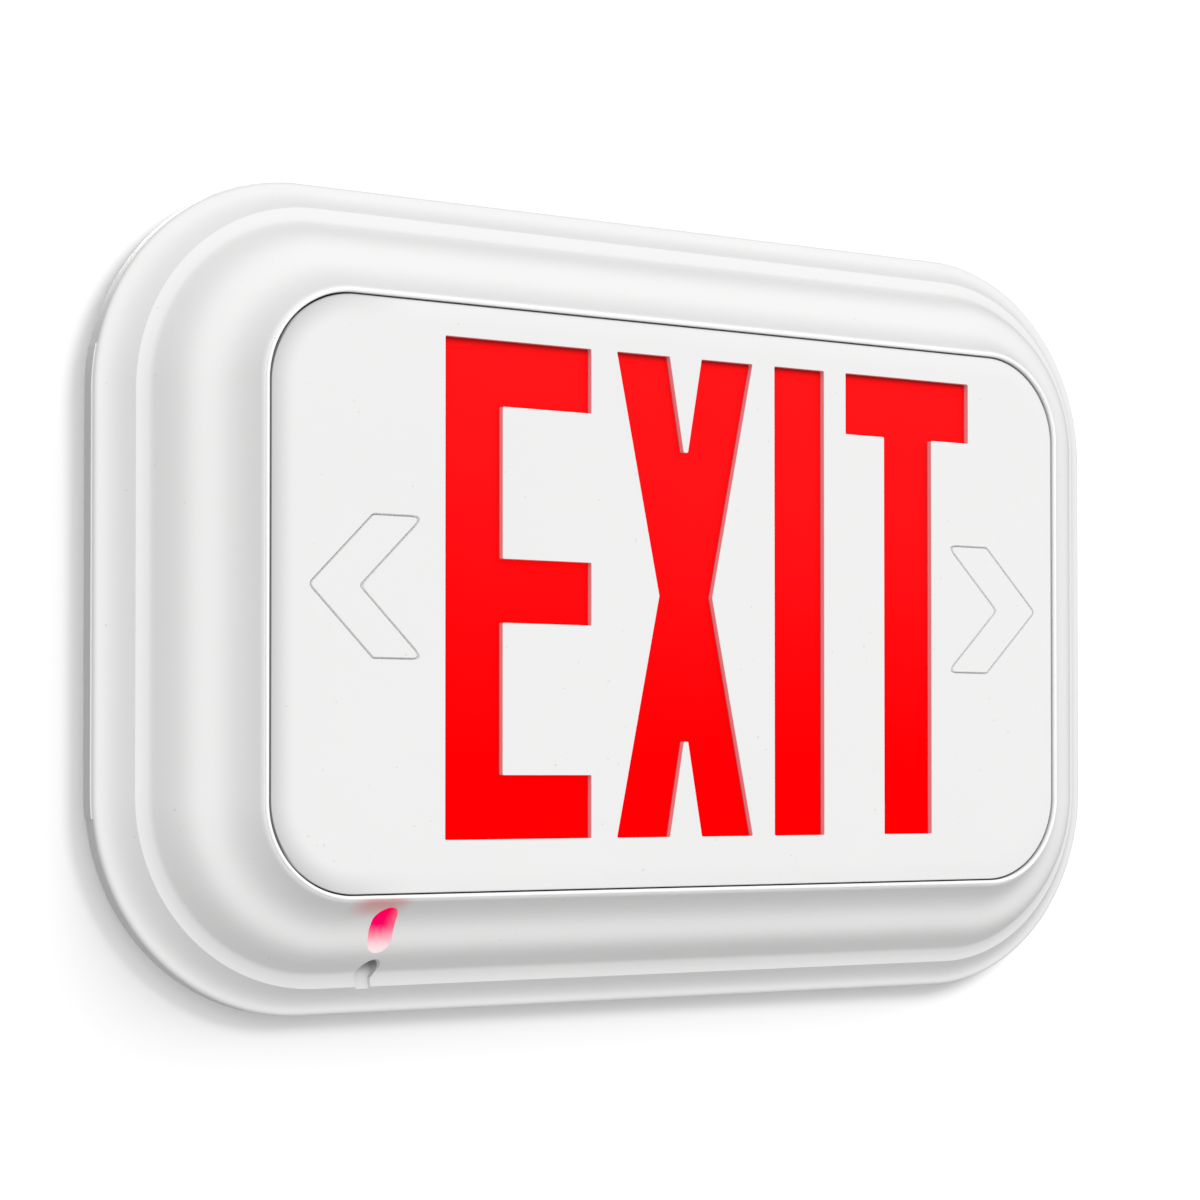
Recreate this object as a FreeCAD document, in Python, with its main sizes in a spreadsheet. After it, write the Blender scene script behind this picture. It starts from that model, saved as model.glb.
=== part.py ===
"""Wall-mounted emergency exit light, edge lit, with battery back-up.

The wall is the plane y = 0 and the sign faces -Y. X runs to the right as the sign is read, Z up.
Heights are measured out from the wall, so a height of 10 lies at y = -10.
All lengths are millimetres. The driving sizes stand in the sheet below and everything is bound to them.
"""
import FreeCAD, Part
import math
import os
import re

import Sketcher

V = FreeCAD.Vector
OUT_OF_WALL = FreeCAD.Rotation(V(1, 0, 0), 90)

SIZES = {
    # Front housing: outline, then the moulding's section from the wall side outwards
    "housing_width": 383.7, "housing_height": 254.2, "housing_corner": 67.6, "wall": 1.8,
    "rear_lift": 0.4, "rim_edge": 6.8, "edge_round": 1.6,
    "side_pad": 0.4, "side_pad_above": 54.1, "side_pad_below": 60.5,
    "bead_inset_x": 10.1, "bead_inset_z": 8.75, "bead_edge": 13.7,
    "valley_inset_x": 14.0, "valley_inset_z": 13.35, "valley_level": 15.3,
    "lip_inset_x": 39.7, "lip_inset_z": 36.3, "lip_top": 39.3, "lip_corner": 29.5, "lip_thickness": 1.3,
    "ogee_bow": 0.72, "skirt_depth": 14.0, "ledge_thickness": 2.0, "ledge_width": 7.0,
    # Face plate, its lettering and its knock-out arrows
    "face_front": 38.8, "face_thickness": 2.4, "face_gap": 0.95, "face_round": 1.6, "face_corner_ease": 1.2,
    "legend_above": 9.45, "legend_below": 15.25, "stroke": 20.2, "e_arm": 19.6, "e_to_x": 9.7, "x_to_i": 9.3,
    "i_to_t": 8.9, "x_narrower": 0.8, "x_mouth": 12.5, "x_floor": 3.2, "x_depth": 30.6, "x_waist": 20.4,
    "left_arrow_edge": 12.5, "right_arrow_edge": 8.5, "arrow_reach": 21.6, "arrow_width": 16.8,
    "arrow_to_e": 7.0, "stem_to_arrow": 6.6, "groove": 0.5, "groove_web": 0.8,
    "snap_width": 10.0, "snap_thickness": 1.0, "snap_barb": 0.9, "snap_reach": 1.5, "snap_inset": 60.85,
    # Diffuser, light box and its strips
    "diffuser_thickness": 1.5, "diffuser_margin": 1.7, "seat_gap": 0.3,
    "tray_margin": 3.6, "tray_wall": 1.4, "tray_depth": 11.7, "strip_end": 0.65, "strip_width": 8.4,
    "board_thickness": 1.6, "led_pitch": 24.0, "led_length": 3.5, "led_width": 2.8, "led_rise": 0.8,
    "lead_slot": 9.0, "tray_rib_end": 17.0, "tray_rib_rise": 0.5,
    # Back plate
    "plate_gap": 0.8, "plate_thickness": 2.4, "rail_inset": 7.0, "rail_thickness": 2.0, "rail_top": 6.2,
    "rib_thickness": 1.6, "rib_top": 5.0, "rib_to_rail": 18.0, "rib_to_board": 14.0, "rib_to_battery": 19.0,
    "rib_to_post": 14.0, "box_screw_spacing": 88.9, "box_screw_hole": 2.4,
    "wire_hole": 11.1, "wire_collar": 2.0, "collar_top": 6.0,
    "keyhole_spacing": 120.0, "keyhole_inset": 31.1, "keyhole_head": 4.6, "keyhole_slot": 2.3, "keyhole_drop": 9.0,
    "hook_width": 10.0, "hook_thickness": 1.5, "hook_gap": 0.3, "hook_barb": 1.6, "hook_inset": 95.85,
    "window_bottom": 2.8, "window_top": 5.0, "window_ease": 1.0,
    "tray_post_inset_x": 13.25, "tray_post_inset_z": 19.9, "post_radius": 3.8, "small_post_radius": 3.2, "pilot": 1.3,
    # Screws
    "screw_radius": 1.25, "screw_ease": 0.3, "board_screw_length": 6.0, "tray_screw_length": 8.0,
    "head_radius": 2.8, "head_rise": 1.9,
    # Control board and what it carries
    "board_inset": 31.85, "board_z": -8.0, "board_width": 84.0, "board_height": 66.0, "standoff": 4.0,
    "board_hole_inset": 5.0, "coil_to_edge": 15.5, "coil_z": 4.0, "coil_width": 17.0, "coil_height": 15.0,
    "coil_rise": 11.0, "coil_foot": 1.5,
    "film_to_edge": 13.0, "film_length": 26.0, "film_width": 9.0, "film_rise": 11.5, "film_round": 0.8,
    "relay_length": 19.0, "relay_width": 10.5, "relay_rise": 11.0, "relay_round": 0.6, "row_gap": 3.85,
    "part_gap": 5.5, "can_radius": 4.0, "can_rise": 11.0, "can_gap": 2.0, "can_z": 6.0,
    "block_length": 15.2, "block_width": 8.2, "block_rise": 10.2, "block_inset": 1.9, "block_z": 12.0,
    "port_width": 3.6, "port_bottom": 1.5, "port_top": 6.0, "port_depth": 4.0, "port_pitch": 5.0,
    "plug_length": 7.4, "plug_width": 5.8, "plug_rise": 6.6, "plug_inset": 1.1, "plug_to_screw": 1.5,
    "lead_radius": 1.3, "lead_reach": 8.0, "lead_to_post": 3.0, "lead_end": 3.5, "lead_bend": 1.6,
    # Battery
    "battery_inset": 60.85, "battery_z": -8.0, "cell_radius": 7.1, "cell_length": 50.0, "wrap": 0.3,
    "strap_width": 9.0, "strap_thickness": 1.2, "strap_foot": 9.0, "cradle": 1.6, "cradle_length": 40.0,
    # Test button, its switch and lamp, and the pry notch beside it
    "button_inset_x": 83.45, "button_inset_z": 26.7, "button_width": 7.7, "button_length": 14.2, "button_gap": 0.3,
    "collar_wall": 1.3, "collar_end": 18.2, "ear_reach": 1.3, "ear_length": 9.0, "ear_thickness": 1.2, "travel": 1.2,
    "stem_radius": 1.7, "switch_side": 6.0, "switch_rise": 3.5, "plunger_radius": 1.7, "plunger_proud": 1.6,
    "plunger_gap": 0.3, "small_board_width": 30.0, "small_board_height": 20.0, "small_hole_inset": 3.5,
    "lamp_radius": 1.5, "lamp_rise": 4.6, "lamp_to_switch": 0.7,
    "notch_shift": 1.2, "notch_width": 6.2, "notch_inset": 17.8, "notch_floor": 12.7, "notch_wall": 1.5,
}
PASS = 1.0  # how far cutting tools run past the face they open
SCREW_SIDES = 12
COVE_FACETS, OGEE_FACETS, INNER_COVE_FACETS, INNER_OGEE_FACETS, ROUND_FACETS = 3, 7, 1, 3, 3

doc = FreeCAD.newDocument("ExitLight")
sheet = doc.addObject("Spreadsheet::Sheet", "Sizes")
for row, (alias, value) in enumerate(SIZES.items(), start=1):
    sheet.set(f"A{row}", alias)
    sheet.set(f"B{row}", str(value))
    sheet.setAlias(f"B{row}", alias)
doc.recompute()

# Sizes that follow from others, as text that is put into the expressions
FACE_REAR = "(face_front - face_thickness)"
LEDGE_FRONT = f"({FACE_REAR} - diffuser_thickness)"
LEDGE_REAR = f"({LEDGE_FRONT} - ledge_thickness)"
LIP_WIDTH = "(housing_width - 2 * lip_inset_x)"
LIP_HEIGHT = "(housing_height - 2 * lip_inset_z)"
WELL_WIDTH = f"({LIP_WIDTH} - 2 * lip_thickness)"
WELL_HEIGHT = f"({LIP_HEIGHT} - 2 * lip_thickness)"
WELL_CORNER = "(lip_corner - lip_thickness)"
FACE_X = f"({WELL_WIDTH} / 2 - face_gap)"
FACE_Z = f"({WELL_HEIGHT} / 2 - face_gap)"
TRAY_RIM = f"({LEDGE_REAR} - seat_gap)"
TRAY_BACK = f"({TRAY_RIM} - tray_depth)"
TRAY_FLOOR = f"({TRAY_BACK} + tray_wall)"
TRAY_WIDTH = f"({WELL_WIDTH} - 2 * tray_margin)"
TRAY_HEIGHT = f"({WELL_HEIGHT} - 2 * tray_margin)"
TRAY_CORNER = f"({WELL_CORNER} - tray_margin)"
STRIP_LENGTH = f"({TRAY_WIDTH} - 2 * {TRAY_CORNER} - 2 * strip_end)"
STRIP_SEAT = f"({TRAY_HEIGHT} / 2 - tray_wall)"
LEAD_SLOTS = [(f"-{STRIP_LENGTH} / 2 - lead_slot / 2", f"{side} * ({STRIP_SEAT} - lead_slot / 2)") for side in (1, -1)]
RAIL_OUT_X, RAIL_OUT_Z = "(housing_width / 2 - rail_inset)", "(housing_height / 2 - rail_inset)"
BOARD_REAR = "(plate_thickness + standoff)"
BOARD_FRONT = f"({BOARD_REAR} + board_thickness)"
BOARD_X = "(board_inset + board_width / 2 - housing_width / 2)"
BATTERY_X = "(housing_width / 2 - battery_inset - cell_length / 2)"
BUTTON_X, BUTTON_Z = "(button_inset_x - housing_width / 2)", "(button_inset_z - housing_height / 2)"
NOTCH_X, NOTCH_TOP = f"({BUTTON_X} + notch_shift)", "(notch_inset - housing_height / 2)"

MIRRORS = ((1, 1), (-1, 1), (1, -1), (-1, -1))
SNAP_X, HOOK_X = f"({WELL_WIDTH} / 2 - snap_inset)", "(housing_width / 2 - hook_inset)"
BOARD_HOLES = [(f"{BOARD_X} + {a} * (board_width / 2 - board_hole_inset)",
                f"board_z + {b} * (board_height / 2 - board_hole_inset)") for a, b in MIRRORS]
SCREWED_HOLES, PEGGED_HOLES = BOARD_HOLES[1:3], BOARD_HOLES[::3]
SMALL_HOLES = [(f"{BUTTON_X} + {a} * (small_board_width / 2 - small_hole_inset)", BUTTON_Z) for a in (-1, 1)]
STRAP_REACH = "(3 * cell_radius + wrap + cradle + seat_gap + strap_foot / 2)"
STRAP_HOLES = [(BATTERY_X, f"battery_z + {a} * {STRAP_REACH}") for a in (-1, 1)]
TRAY_POST_X, TRAY_POST_Z = f"({TRAY_WIDTH} / 2 - tray_post_inset_x)", f"({TRAY_HEIGHT} / 2 - tray_post_inset_z)"
TRAY_CORNERS = [(f"{a} * {TRAY_POST_X}", f"{b} * {TRAY_POST_Z}") for a, b in MIRRORS]
TRAY_HOLES, TRAY_RESTS = TRAY_CORNERS[1:3], TRAY_CORNERS[::3]
PLUNGER_TOP = f"({BOARD_FRONT} + switch_rise + plunger_proud)"


def expression(text):
    """Put the sheet's name in front of every alias in a formula."""
    def name(match):
        word = match.group(0)
        return "Sizes." + word if word in SIZES else word
    return re.sub(r"[A-Za-z_][A-Za-z_0-9]*", name, str(text))


def bind(item, prop, text):
    item.setExpression(prop, expression(text))


def value(text):
    """The number that a formula over the sheet's values has now."""
    probe = doc.getObject("Probe") or doc.addObject("Part::Sphere", "Probe")
    return float(probe.evalExpression(expression(text)))


def place(item, x="0", height="0", z="0", turn=None):
    item.Placement = FreeCAD.Placement(V(), turn or FreeCAD.Rotation())
    bind(item, "Placement.Base.x", x)
    bind(item, "Placement.Base.y", f"-({height})")
    bind(item, "Placement.Base.z", z)
    return item


def slab(name, x, height, z):
    """A box from three pairs of limits: along X, out from the wall, and along Z."""
    item = doc.addObject("Part::Box", name)
    bind(item, "Length", f"({x[1]}) - ({x[0]})")
    bind(item, "Width", f"({height[1]}) - ({height[0]})")
    bind(item, "Height", f"({z[1]}) - ({z[0]})")
    return place(item, x[0], height[1], z[0])


def block(name, x, z, length, width, height):
    """A box centred at (x, z)."""
    return slab(name, (f"({x}) - ({length}) / 2", f"({x}) + ({length}) / 2"), height,
                (f"({z}) - ({width}) / 2", f"({z}) + ({width}) / 2"))


def post(name, x, z, radius, height):
    """A round post square to the wall."""
    item = doc.addObject("Part::Cylinder", name)
    bind(item, "Radius", radius)
    bind(item, "Height", f"({height[1]}) - ({height[0]})")
    return place(item, x, height[0], z, OUT_OF_WALL)


def fuse(name, items):
    item = doc.addObject("Part::MultiFuse", name)
    item.Shapes = list(items)
    item.Refine = True
    return item


def cut(name, base, tools):
    item = doc.addObject("Part::Cut", name)
    item.Base = base
    item.Tool = tools[0] if len(tools) == 1 else fuse(name + "Tools", tools)
    item.Refine = True
    return item


def common(name, first, second):
    item = doc.addObject("Part::MultiCommon", name)
    item.Shapes = [first, second]
    return item


def rounded(name, item, radius, pick):
    """Round the edges that pick chooses."""
    doc.recompute()
    result = doc.addObject("Part::Fillet", name)
    result.Base = item
    size = value(radius)
    result.Edges = [(i + 1, size, size) for i, edge in enumerate(item.Shape.Edges) if pick(edge)]
    return result


def obround(name, x, z, width, length, height):
    """An upright slot form with round ends, square to the wall."""
    reach = f"(({length}) - ({width})) / 2"
    return fuse(name, [
        block(name + "Middle", x, z, width, f"({length}) - ({width})", height),
        post(name + "Top", x, f"({z}) + {reach}", f"({width}) / 2", height),
        post(name + "Foot", x, f"({z}) - {reach}", f"({width}) / 2", height),
    ])


def new_body(name):
    return doc.addObject("PartDesign::Body", name)


def sketch_in(body, name, height):
    """A sketch parallel to the wall, at a height out from it."""
    sketch = body.newObject("Sketcher::SketchObject", name)
    plane = next(item for item in body.Origin.OriginFeatures if item.Role == "XZ_Plane")
    sketch.AttachmentSupport = (plane, "")
    sketch.MapMode = "FlatFace"
    bind(sketch, "AttachmentOffset.Base.z", height)
    return sketch


def measure(sketch, kind, places, text):
    """Add a dimension whose size is a formula over the sheet."""
    number = sketch.addConstraint(Sketcher.Constraint(kind, *places, value(text)))
    sketch.setExpression(f"Constraints[{number}]", expression(text))


def draw_rounded_rectangle(sketch, width, height, corner):
    """Four lines and four tangent arcs, centred on the origin and held by three sizes."""
    a, b, r = value(f"({width}) / 2"), value(f"({height}) / 2"), value(corner)
    first = sketch.GeometryCount
    ends = [((-a + r, b), (a - r, b)), ((a, b - r), (a, -b + r)),
            ((a - r, -b), (-a + r, -b)), ((-a, -b + r), (-a, b - r))]
    middles = [(a - r, b - r), (a - r, -b + r), (-a + r, -b + r), (-a + r, b - r)]
    for start, end in ends:
        sketch.addGeometry(Part.LineSegment(V(*start, 0), V(*end, 0)), False)
    quarter = math.pi / 2
    for index, middle in enumerate(middles):
        circle = Part.Circle(V(*middle, 0), V(0, 0, 1), r)
        sketch.addGeometry(Part.ArcOfCircle(circle, -index * quarter, (1 - index) * quarter), False)
    for index in range(4):
        line, arc, following = first + index, first + 4 + index, first + (index + 1) % 4
        sketch.addConstraint(Sketcher.Constraint("Tangent", line, 2, arc, 2))
        sketch.addConstraint(Sketcher.Constraint("Tangent", arc, 1, following, 1))
    for index, kind in enumerate(("Horizontal", "Vertical", "Horizontal", "Vertical")):
        sketch.addConstraint(Sketcher.Constraint(kind, first + index))
    for index in range(3):
        sketch.addConstraint(Sketcher.Constraint("Equal", first + 4, first + 5 + index))
    measure(sketch, "DistanceX", (-1, 1, first + 1, 1), f"({width}) / 2")
    measure(sketch, "DistanceX", (first + 3, 1, -1, 1), f"({width}) / 2")
    measure(sketch, "DistanceY", (-1, 1, first, 1), f"({height}) / 2")
    measure(sketch, "DistanceY", (first + 2, 1, -1, 1), f"({height}) / 2")
    measure(sketch, "Radius", (first + 4,), corner)


def draw_outline(sketch, corners):
    """A closed outline of straight lines through corners that are pairs of formulas."""
    points = [V(value(x), value(z), 0) for x, z in corners]
    first = sketch.GeometryCount
    count = len(points)
    for index, point in enumerate(points):
        sketch.addGeometry(Part.LineSegment(point, points[(index + 1) % count]), False)
    for index in range(count):
        sketch.addConstraint(Sketcher.Constraint("Coincident", first + index, 2, first + (index + 1) % count, 1))
    for index, (x, z) in enumerate(corners):
        measure(sketch, "DistanceX", (-1, 1, first + index, 1), x)
        measure(sketch, "DistanceY", (-1, 1, first + index, 1), z)


def feature(body, kind, name, sketch, **settings):
    item = body.newObject("PartDesign::" + kind, name)
    item.Profile = sketch
    for key, setting in settings.items():
        setattr(item, key, setting)
    sketch.Visibility = False
    return item


def pad(body, name, sketch, length):
    """Pad outwards from the wall."""
    item = feature(body, "Pad", name, sketch)
    bind(item, "Length", length)
    return item


def rounded_plate(name, width, height, corner, level):
    """A body that is one rounded plate between two heights."""
    body = new_body(name)
    sketch = sketch_in(body, name + "Outline", level[0])
    draw_rounded_rectangle(sketch, width, height, corner)
    pad(body, name + "Pad", sketch, f"({level[1]}) - ({level[0]})")
    return body


def rounded_ring(name, outer, inner, level):
    """A body that is a rounded frame, open through the middle, between two heights."""
    body = new_body(name)
    sketch = sketch_in(body, name + "Outline", level[0])
    draw_rounded_rectangle(sketch, *outer)
    draw_rounded_rectangle(sketch, *inner)
    pad(body, name + "Pad", sketch, f"({level[1]}) - ({level[0]})")
    return body


def moulding(name, skin, start, cove_steps, ogee_steps):
    """The housing's whole outside as one solid (skin 0), or its hollow (skin is the wall's thickness).

    The section has five stretches: an upright rim, a rounded edge, a cove that starts flat and ends steep,
    a narrow bead, and an ogee that is steep at both ends and easy in the middle. Each is lofted through
    rounded outlines in narrow facets, finer outside, where they show, than inside.
    """
    body = new_body(name)

    def ring(label, inset_x, inset_z, level, corner):
        sketch = sketch_in(body, name + label, level)
        draw_rounded_rectangle(sketch, f"housing_width - 2 * ({inset_x}) - 2 * ({skin})",
                               f"housing_height - 2 * ({inset_z}) - 2 * ({skin})", f"({corner}) - ({skin})")
        return sketch

    def loft(label, rings):
        item = feature(body, "AdditiveLoft", name + label, rings[0], Ruled=True)
        item.Sections = rings[1:]
        for each in rings:
            each.Visibility = False

    edge_level = f"rim_edge - edge_round - ({skin})"
    pad(body, name + "RimPad", ring("Rim", "0", "0", start, "housing_corner"), f"{edge_level} - ({start})")
    edge = ring("Edge", "0", "0", edge_level, "housing_corner")
    shoulder = ring("Shoulder", "edge_round", "edge_round", f"rim_edge - ({skin})", "housing_corner - edge_round")
    loft("EdgeLoft", [edge, shoulder])

    cove = []
    for index in range(cove_steps + 1):
        part = index / cove_steps
        cove.append(ring(f"Cove{index}", f"edge_round + (bead_inset_x - edge_round) * {part}",
                         f"edge_round + (bead_inset_z - edge_round) * {part}",
                         f"rim_edge + (bead_edge - rim_edge) * (1 - cos({90 * part} deg)) - ({skin})",
                         f"housing_corner - edge_round - (bead_inset_z - edge_round) * {part}"))
    loft("CoveLoft", cove)

    bead = ring("Bead", "bead_inset_x", "bead_inset_z", f"bead_edge - ({skin})", "housing_corner - bead_inset_z")
    valley = ring("Valley", "valley_inset_x", "valley_inset_z", f"valley_level - ({skin})",
                  "housing_corner - valley_inset_z")
    loft("BeadLoft", [bead, valley])

    ogee = []
    for index in range(ogee_steps + 1):
        part = index / ogee_steps
        rise = f"({part} + ogee_bow * sin({360 * part} deg) / {2 * math.pi})"
        ogee.append(ring(f"Ogee{index}", f"valley_inset_x + (lip_inset_x - valley_inset_x) * {part}",
                         f"valley_inset_z + (lip_inset_z - valley_inset_z) * {part}",
                         f"valley_level + (lip_top - valley_level) * {rise} - ({skin})",
                         f"housing_corner - valley_inset_z + (lip_corner - housing_corner + valley_inset_z) * {part}"))
    loft("OgeeLoft", ogee)
    return body


parts = []


def finish(item, node):
    """Give a finished sub-part the name that its file takes."""
    item.Label = node
    parts.append(item)
    return item


def group(name, items):
    """Several separate solids that share one node."""
    item = doc.addObject("Part::Compound", name)
    item.Links = list(items)
    return item


def mirrored(side, low, high):
    """A pair of limits on the plus or minus side of the middle."""
    return (low, high) if side > 0 else (f"-({high})", f"-({low})")


def around(places, make):
    """Make one piece at each place of a list of (x, z) formulas."""
    return [make(index, x, z) for index, (x, z) in enumerate(places)]


# Front housing -----------------------------------------------------------------------------------

def make_front_housing():
    outside = moulding("Outside", "0", "rear_lift", COVE_FACETS, OGEE_FACETS)
    hollow = moulding("Hollow", "wall", "0", INNER_COVE_FACETS, INNER_OGEE_FACETS)

    # The straight stretch of each end of the rim stands a little proud
    proud = common("SidePads", rounded_plate("PadOutline", "housing_width + 2 * side_pad",
                                             "housing_height + 2 * side_pad", "housing_corner + side_pad",
                                             ("rear_lift", "rim_edge - edge_round")),
                   slab("PadStretch", ("-housing_width", "housing_width"), ("0", "rim_edge"),
                        ("side_pad_below - housing_height / 2", "housing_height / 2 - side_pad_above")))
    shell = cut("HousingShell", fuse("HousingForm", [outside, proud]), [hollow])

    # The lip goes on inwards as a skirt, with a ledge that carries the diffuser and the face plate
    window_outline = (f"{WELL_WIDTH} - 2 * ledge_width", f"{WELL_HEIGHT} - 2 * ledge_width",
                      f"{WELL_CORNER} - ledge_width")
    skirt = rounded_ring("Skirt", (LIP_WIDTH, LIP_HEIGHT, "lip_corner"), (WELL_WIDTH, WELL_HEIGHT, WELL_CORNER),
                         ("lip_top - skirt_depth", "lip_top"))
    ledge = rounded_ring("Ledge", (f"{LIP_WIDTH} - lip_thickness", f"{LIP_HEIGHT} - lip_thickness", "lip_corner"),
                         window_outline, (LEDGE_REAR, LEDGE_FRONT))

    # Inside the bezel, a sleeve guides the test button, and a pocket wall backs the pry notch
    sleeve = obround("Sleeve", BUTTON_X, BUTTON_Z, "button_width + 2 * button_gap + 2 * collar_wall",
                     "button_length + 2 * button_gap + 2 * collar_wall", ("collar_end", "lip_top"))
    past_lip = f"lip_top + {PASS}"
    notch_arch = f"({NOTCH_TOP} - notch_width / 2)"
    pocket_level, pocket_half = ("notch_floor - notch_wall", "lip_top"), "(notch_width / 2 + notch_wall)"
    pocket = fuse("NotchPocket", [
        post("NotchPocketArch", NOTCH_X, notch_arch, pocket_half, pocket_level),
        slab("NotchPocketBody", (f"{NOTCH_X} - {pocket_half}", f"{NOTCH_X} + {pocket_half}"),
             pocket_level, ("bead_inset_z - housing_height / 2 + seat_gap", notch_arch)),
    ])
    inner_walls = common("InnerWalls", fuse("InnerForms", [sleeve, pocket]), outside)

    # Hooks that catch the back plate's rail: two on each long side and one at each end
    stem_level, barb_level = ("window_bottom + hook_gap", "bead_edge - wall"), \
        ("window_bottom + hook_gap", "window_top - hook_gap")
    hooks = []
    for index, (a, side) in enumerate(MIRRORS):
        along = (f"{a} * {HOOK_X} - hook_width / 2", f"{a} * {HOOK_X} + hook_width / 2")
        inside = f"({RAIL_OUT_Z} + hook_gap)"
        hooks.append(slab(f"HookStem{index}", along, stem_level, mirrored(side, inside, f"{inside} + hook_thickness")))
        hooks.append(slab(f"HookBarb{index}", along, barb_level, mirrored(side, f"{inside} - hook_barb", inside)))
    for index, side in enumerate((-1, 1)):
        along = ("-hook_width / 2", "hook_width / 2")
        inside = f"({RAIL_OUT_X} + hook_gap)"
        stem = mirrored(side, inside, f"{inside} + hook_thickness")
        hooks.append(slab(f"EndHookStem{index}", stem, stem_level, along))
        hooks.append(slab(f"EndHookBarb{index}", mirrored(side, f"{inside} - hook_barb", inside), barb_level, along))
    hook_stock = common("Hooks", fuse("HookForms", hooks), outside)

    solid = fuse("HousingSolid", [shell, skirt, ledge, inner_walls, hook_stock])
    well = rounded_plate("Well", WELL_WIDTH, WELL_HEIGHT, WELL_CORNER, (LEDGE_FRONT, past_lip))
    window = rounded_plate("Window", *window_outline, ("0", past_lip))
    bore = obround("ButtonBore", BUTTON_X, BUTTON_Z, "button_width + 2 * button_gap",
                   "button_length + 2 * button_gap", ("0", past_lip))
    notch = fuse("Notch", [
        post("NotchArch", NOTCH_X, notch_arch, "notch_width / 2", ("notch_floor", past_lip)),
        slab("NotchBody", (f"{NOTCH_X} - notch_width / 2", f"{NOTCH_X} + notch_width / 2"), ("notch_floor", past_lip),
             (f"bead_inset_z - housing_height / 2 - 2 * {PASS}", notch_arch)),
    ])
    slots = []
    for index, (a, side) in enumerate(MIRRORS):
        along = (f"{a} * {SNAP_X} - snap_width / 2 - seat_gap", f"{a} * {SNAP_X} + snap_width / 2 + seat_gap")
        limits = mirrored(side, f"{FACE_Z} - snap_thickness - snap_barb - seat_gap", f"{FACE_Z} + seat_gap")
        slots.append(slab(f"SnapSlot{index}", along, (f"{LEDGE_REAR} - {PASS}", f"{LEDGE_FRONT} + {PASS}"), limits))
    return finish(cut("FrontHousing", solid, [well, window, bore, notch] + slots), "front_housing")


# Face plate --------------------------------------------------------------------------------------

LEGEND_TOP, LEGEND_FOOT = f"({FACE_Z} - legend_above)", f"(legend_below - {FACE_Z})"
LEGEND_Z = f"(({LEGEND_TOP} + {LEGEND_FOOT}) / 2)"
LEFT_TIP, RIGHT_TIP = f"(left_arrow_edge - {FACE_X})", f"({FACE_X} - right_arrow_edge)"
E_LEFT = f"({LEFT_TIP} + arrow_width + arrow_reach + arrow_to_e)"
STEM_RIGHT = f"({RIGHT_TIP} - arrow_width - arrow_reach - stem_to_arrow)"
# E, X and half of T, with one stroke and a half and the three spaces, fill the room between E's left and T's stem
LETTER_WIDTH = f"(({STEM_RIGHT} - {E_LEFT} - 1.5 * stroke + x_narrower - e_to_x - x_to_i - i_to_t) / 2.5)"
X_LEFT, X_WIDTH = f"({E_LEFT} + {LETTER_WIDTH} + e_to_x)", f"({LETTER_WIDTH} - x_narrower)"
I_LEFT = f"({X_LEFT} + {X_WIDTH} + x_to_i)"
T_LEFT = f"({I_LEFT} + stroke + i_to_t)"


def letter_e():
    """Three arms on a stem: the top arm is a stroke high, the others a little less, with equal spaces between."""
    space = f"(({LEGEND_TOP} - {LEGEND_FOOT} - stroke - 2 * e_arm) / 2)"
    left, stem, right = E_LEFT, f"{E_LEFT} + stroke", f"{E_LEFT} + {LETTER_WIDTH}"
    below_top, above_foot = f"{LEGEND_TOP} - stroke", f"{LEGEND_FOOT} + e_arm"
    middle_top, middle_foot = f"{below_top} - {space}", f"{above_foot} + {space}"
    return [(left, LEGEND_TOP), (right, LEGEND_TOP), (right, below_top), (stem, below_top), (stem, middle_top),
            (right, middle_top), (right, middle_foot), (stem, middle_foot), (stem, above_foot), (right, above_foot),
            (right, LEGEND_FOOT), (left, LEGEND_FOOT)]


def letter_x():
    """Two crossing strokes, drawn as an outline with a tapered notch in the top and in the foot."""
    middle = f"({X_LEFT} + {X_WIDTH} / 2)"
    edge, mouth, floor, waist = f"{X_WIDTH} / 2", "x_mouth / 2", "x_floor / 2", "x_waist / 2"
    top_floor, foot_floor = f"{LEGEND_TOP} - x_depth", f"{LEGEND_FOOT} + x_depth"
    top = [(f"-{edge}", LEGEND_TOP), (f"-{mouth}", LEGEND_TOP), (f"-{floor}", top_floor), (floor, top_floor),
           (mouth, LEGEND_TOP), (edge, LEGEND_TOP)]
    foot = [(edge, LEGEND_FOOT), (mouth, LEGEND_FOOT), (floor, foot_floor), (f"-{floor}", foot_floor),
            (f"-{mouth}", LEGEND_FOOT), (f"-{edge}", LEGEND_FOOT)]
    sides = [(waist, LEGEND_Z)], [(f"-{waist}", LEGEND_Z)]
    return [(f"{middle} + ({x})", z) for x, z in top + sides[0] + foot + sides[1]]


def letter_i():
    return [(I_LEFT, LEGEND_TOP), (f"{I_LEFT} + stroke", LEGEND_TOP), (f"{I_LEFT} + stroke", LEGEND_FOOT),
            (I_LEFT, LEGEND_FOOT)]


def letter_t():
    right, below_bar = f"{T_LEFT} + {LETTER_WIDTH}", f"{LEGEND_TOP} - stroke"
    stem_left = f"{T_LEFT} + ({LETTER_WIDTH} - stroke) / 2"
    stem_right = f"{T_LEFT} + ({LETTER_WIDTH} + stroke) / 2"
    return [(T_LEFT, LEGEND_TOP), (right, LEGEND_TOP), (right, below_bar), (stem_right, below_bar),
            (stem_right, LEGEND_FOOT), (stem_left, LEGEND_FOOT), (stem_left, below_bar), (T_LEFT, below_bar)]


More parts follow.
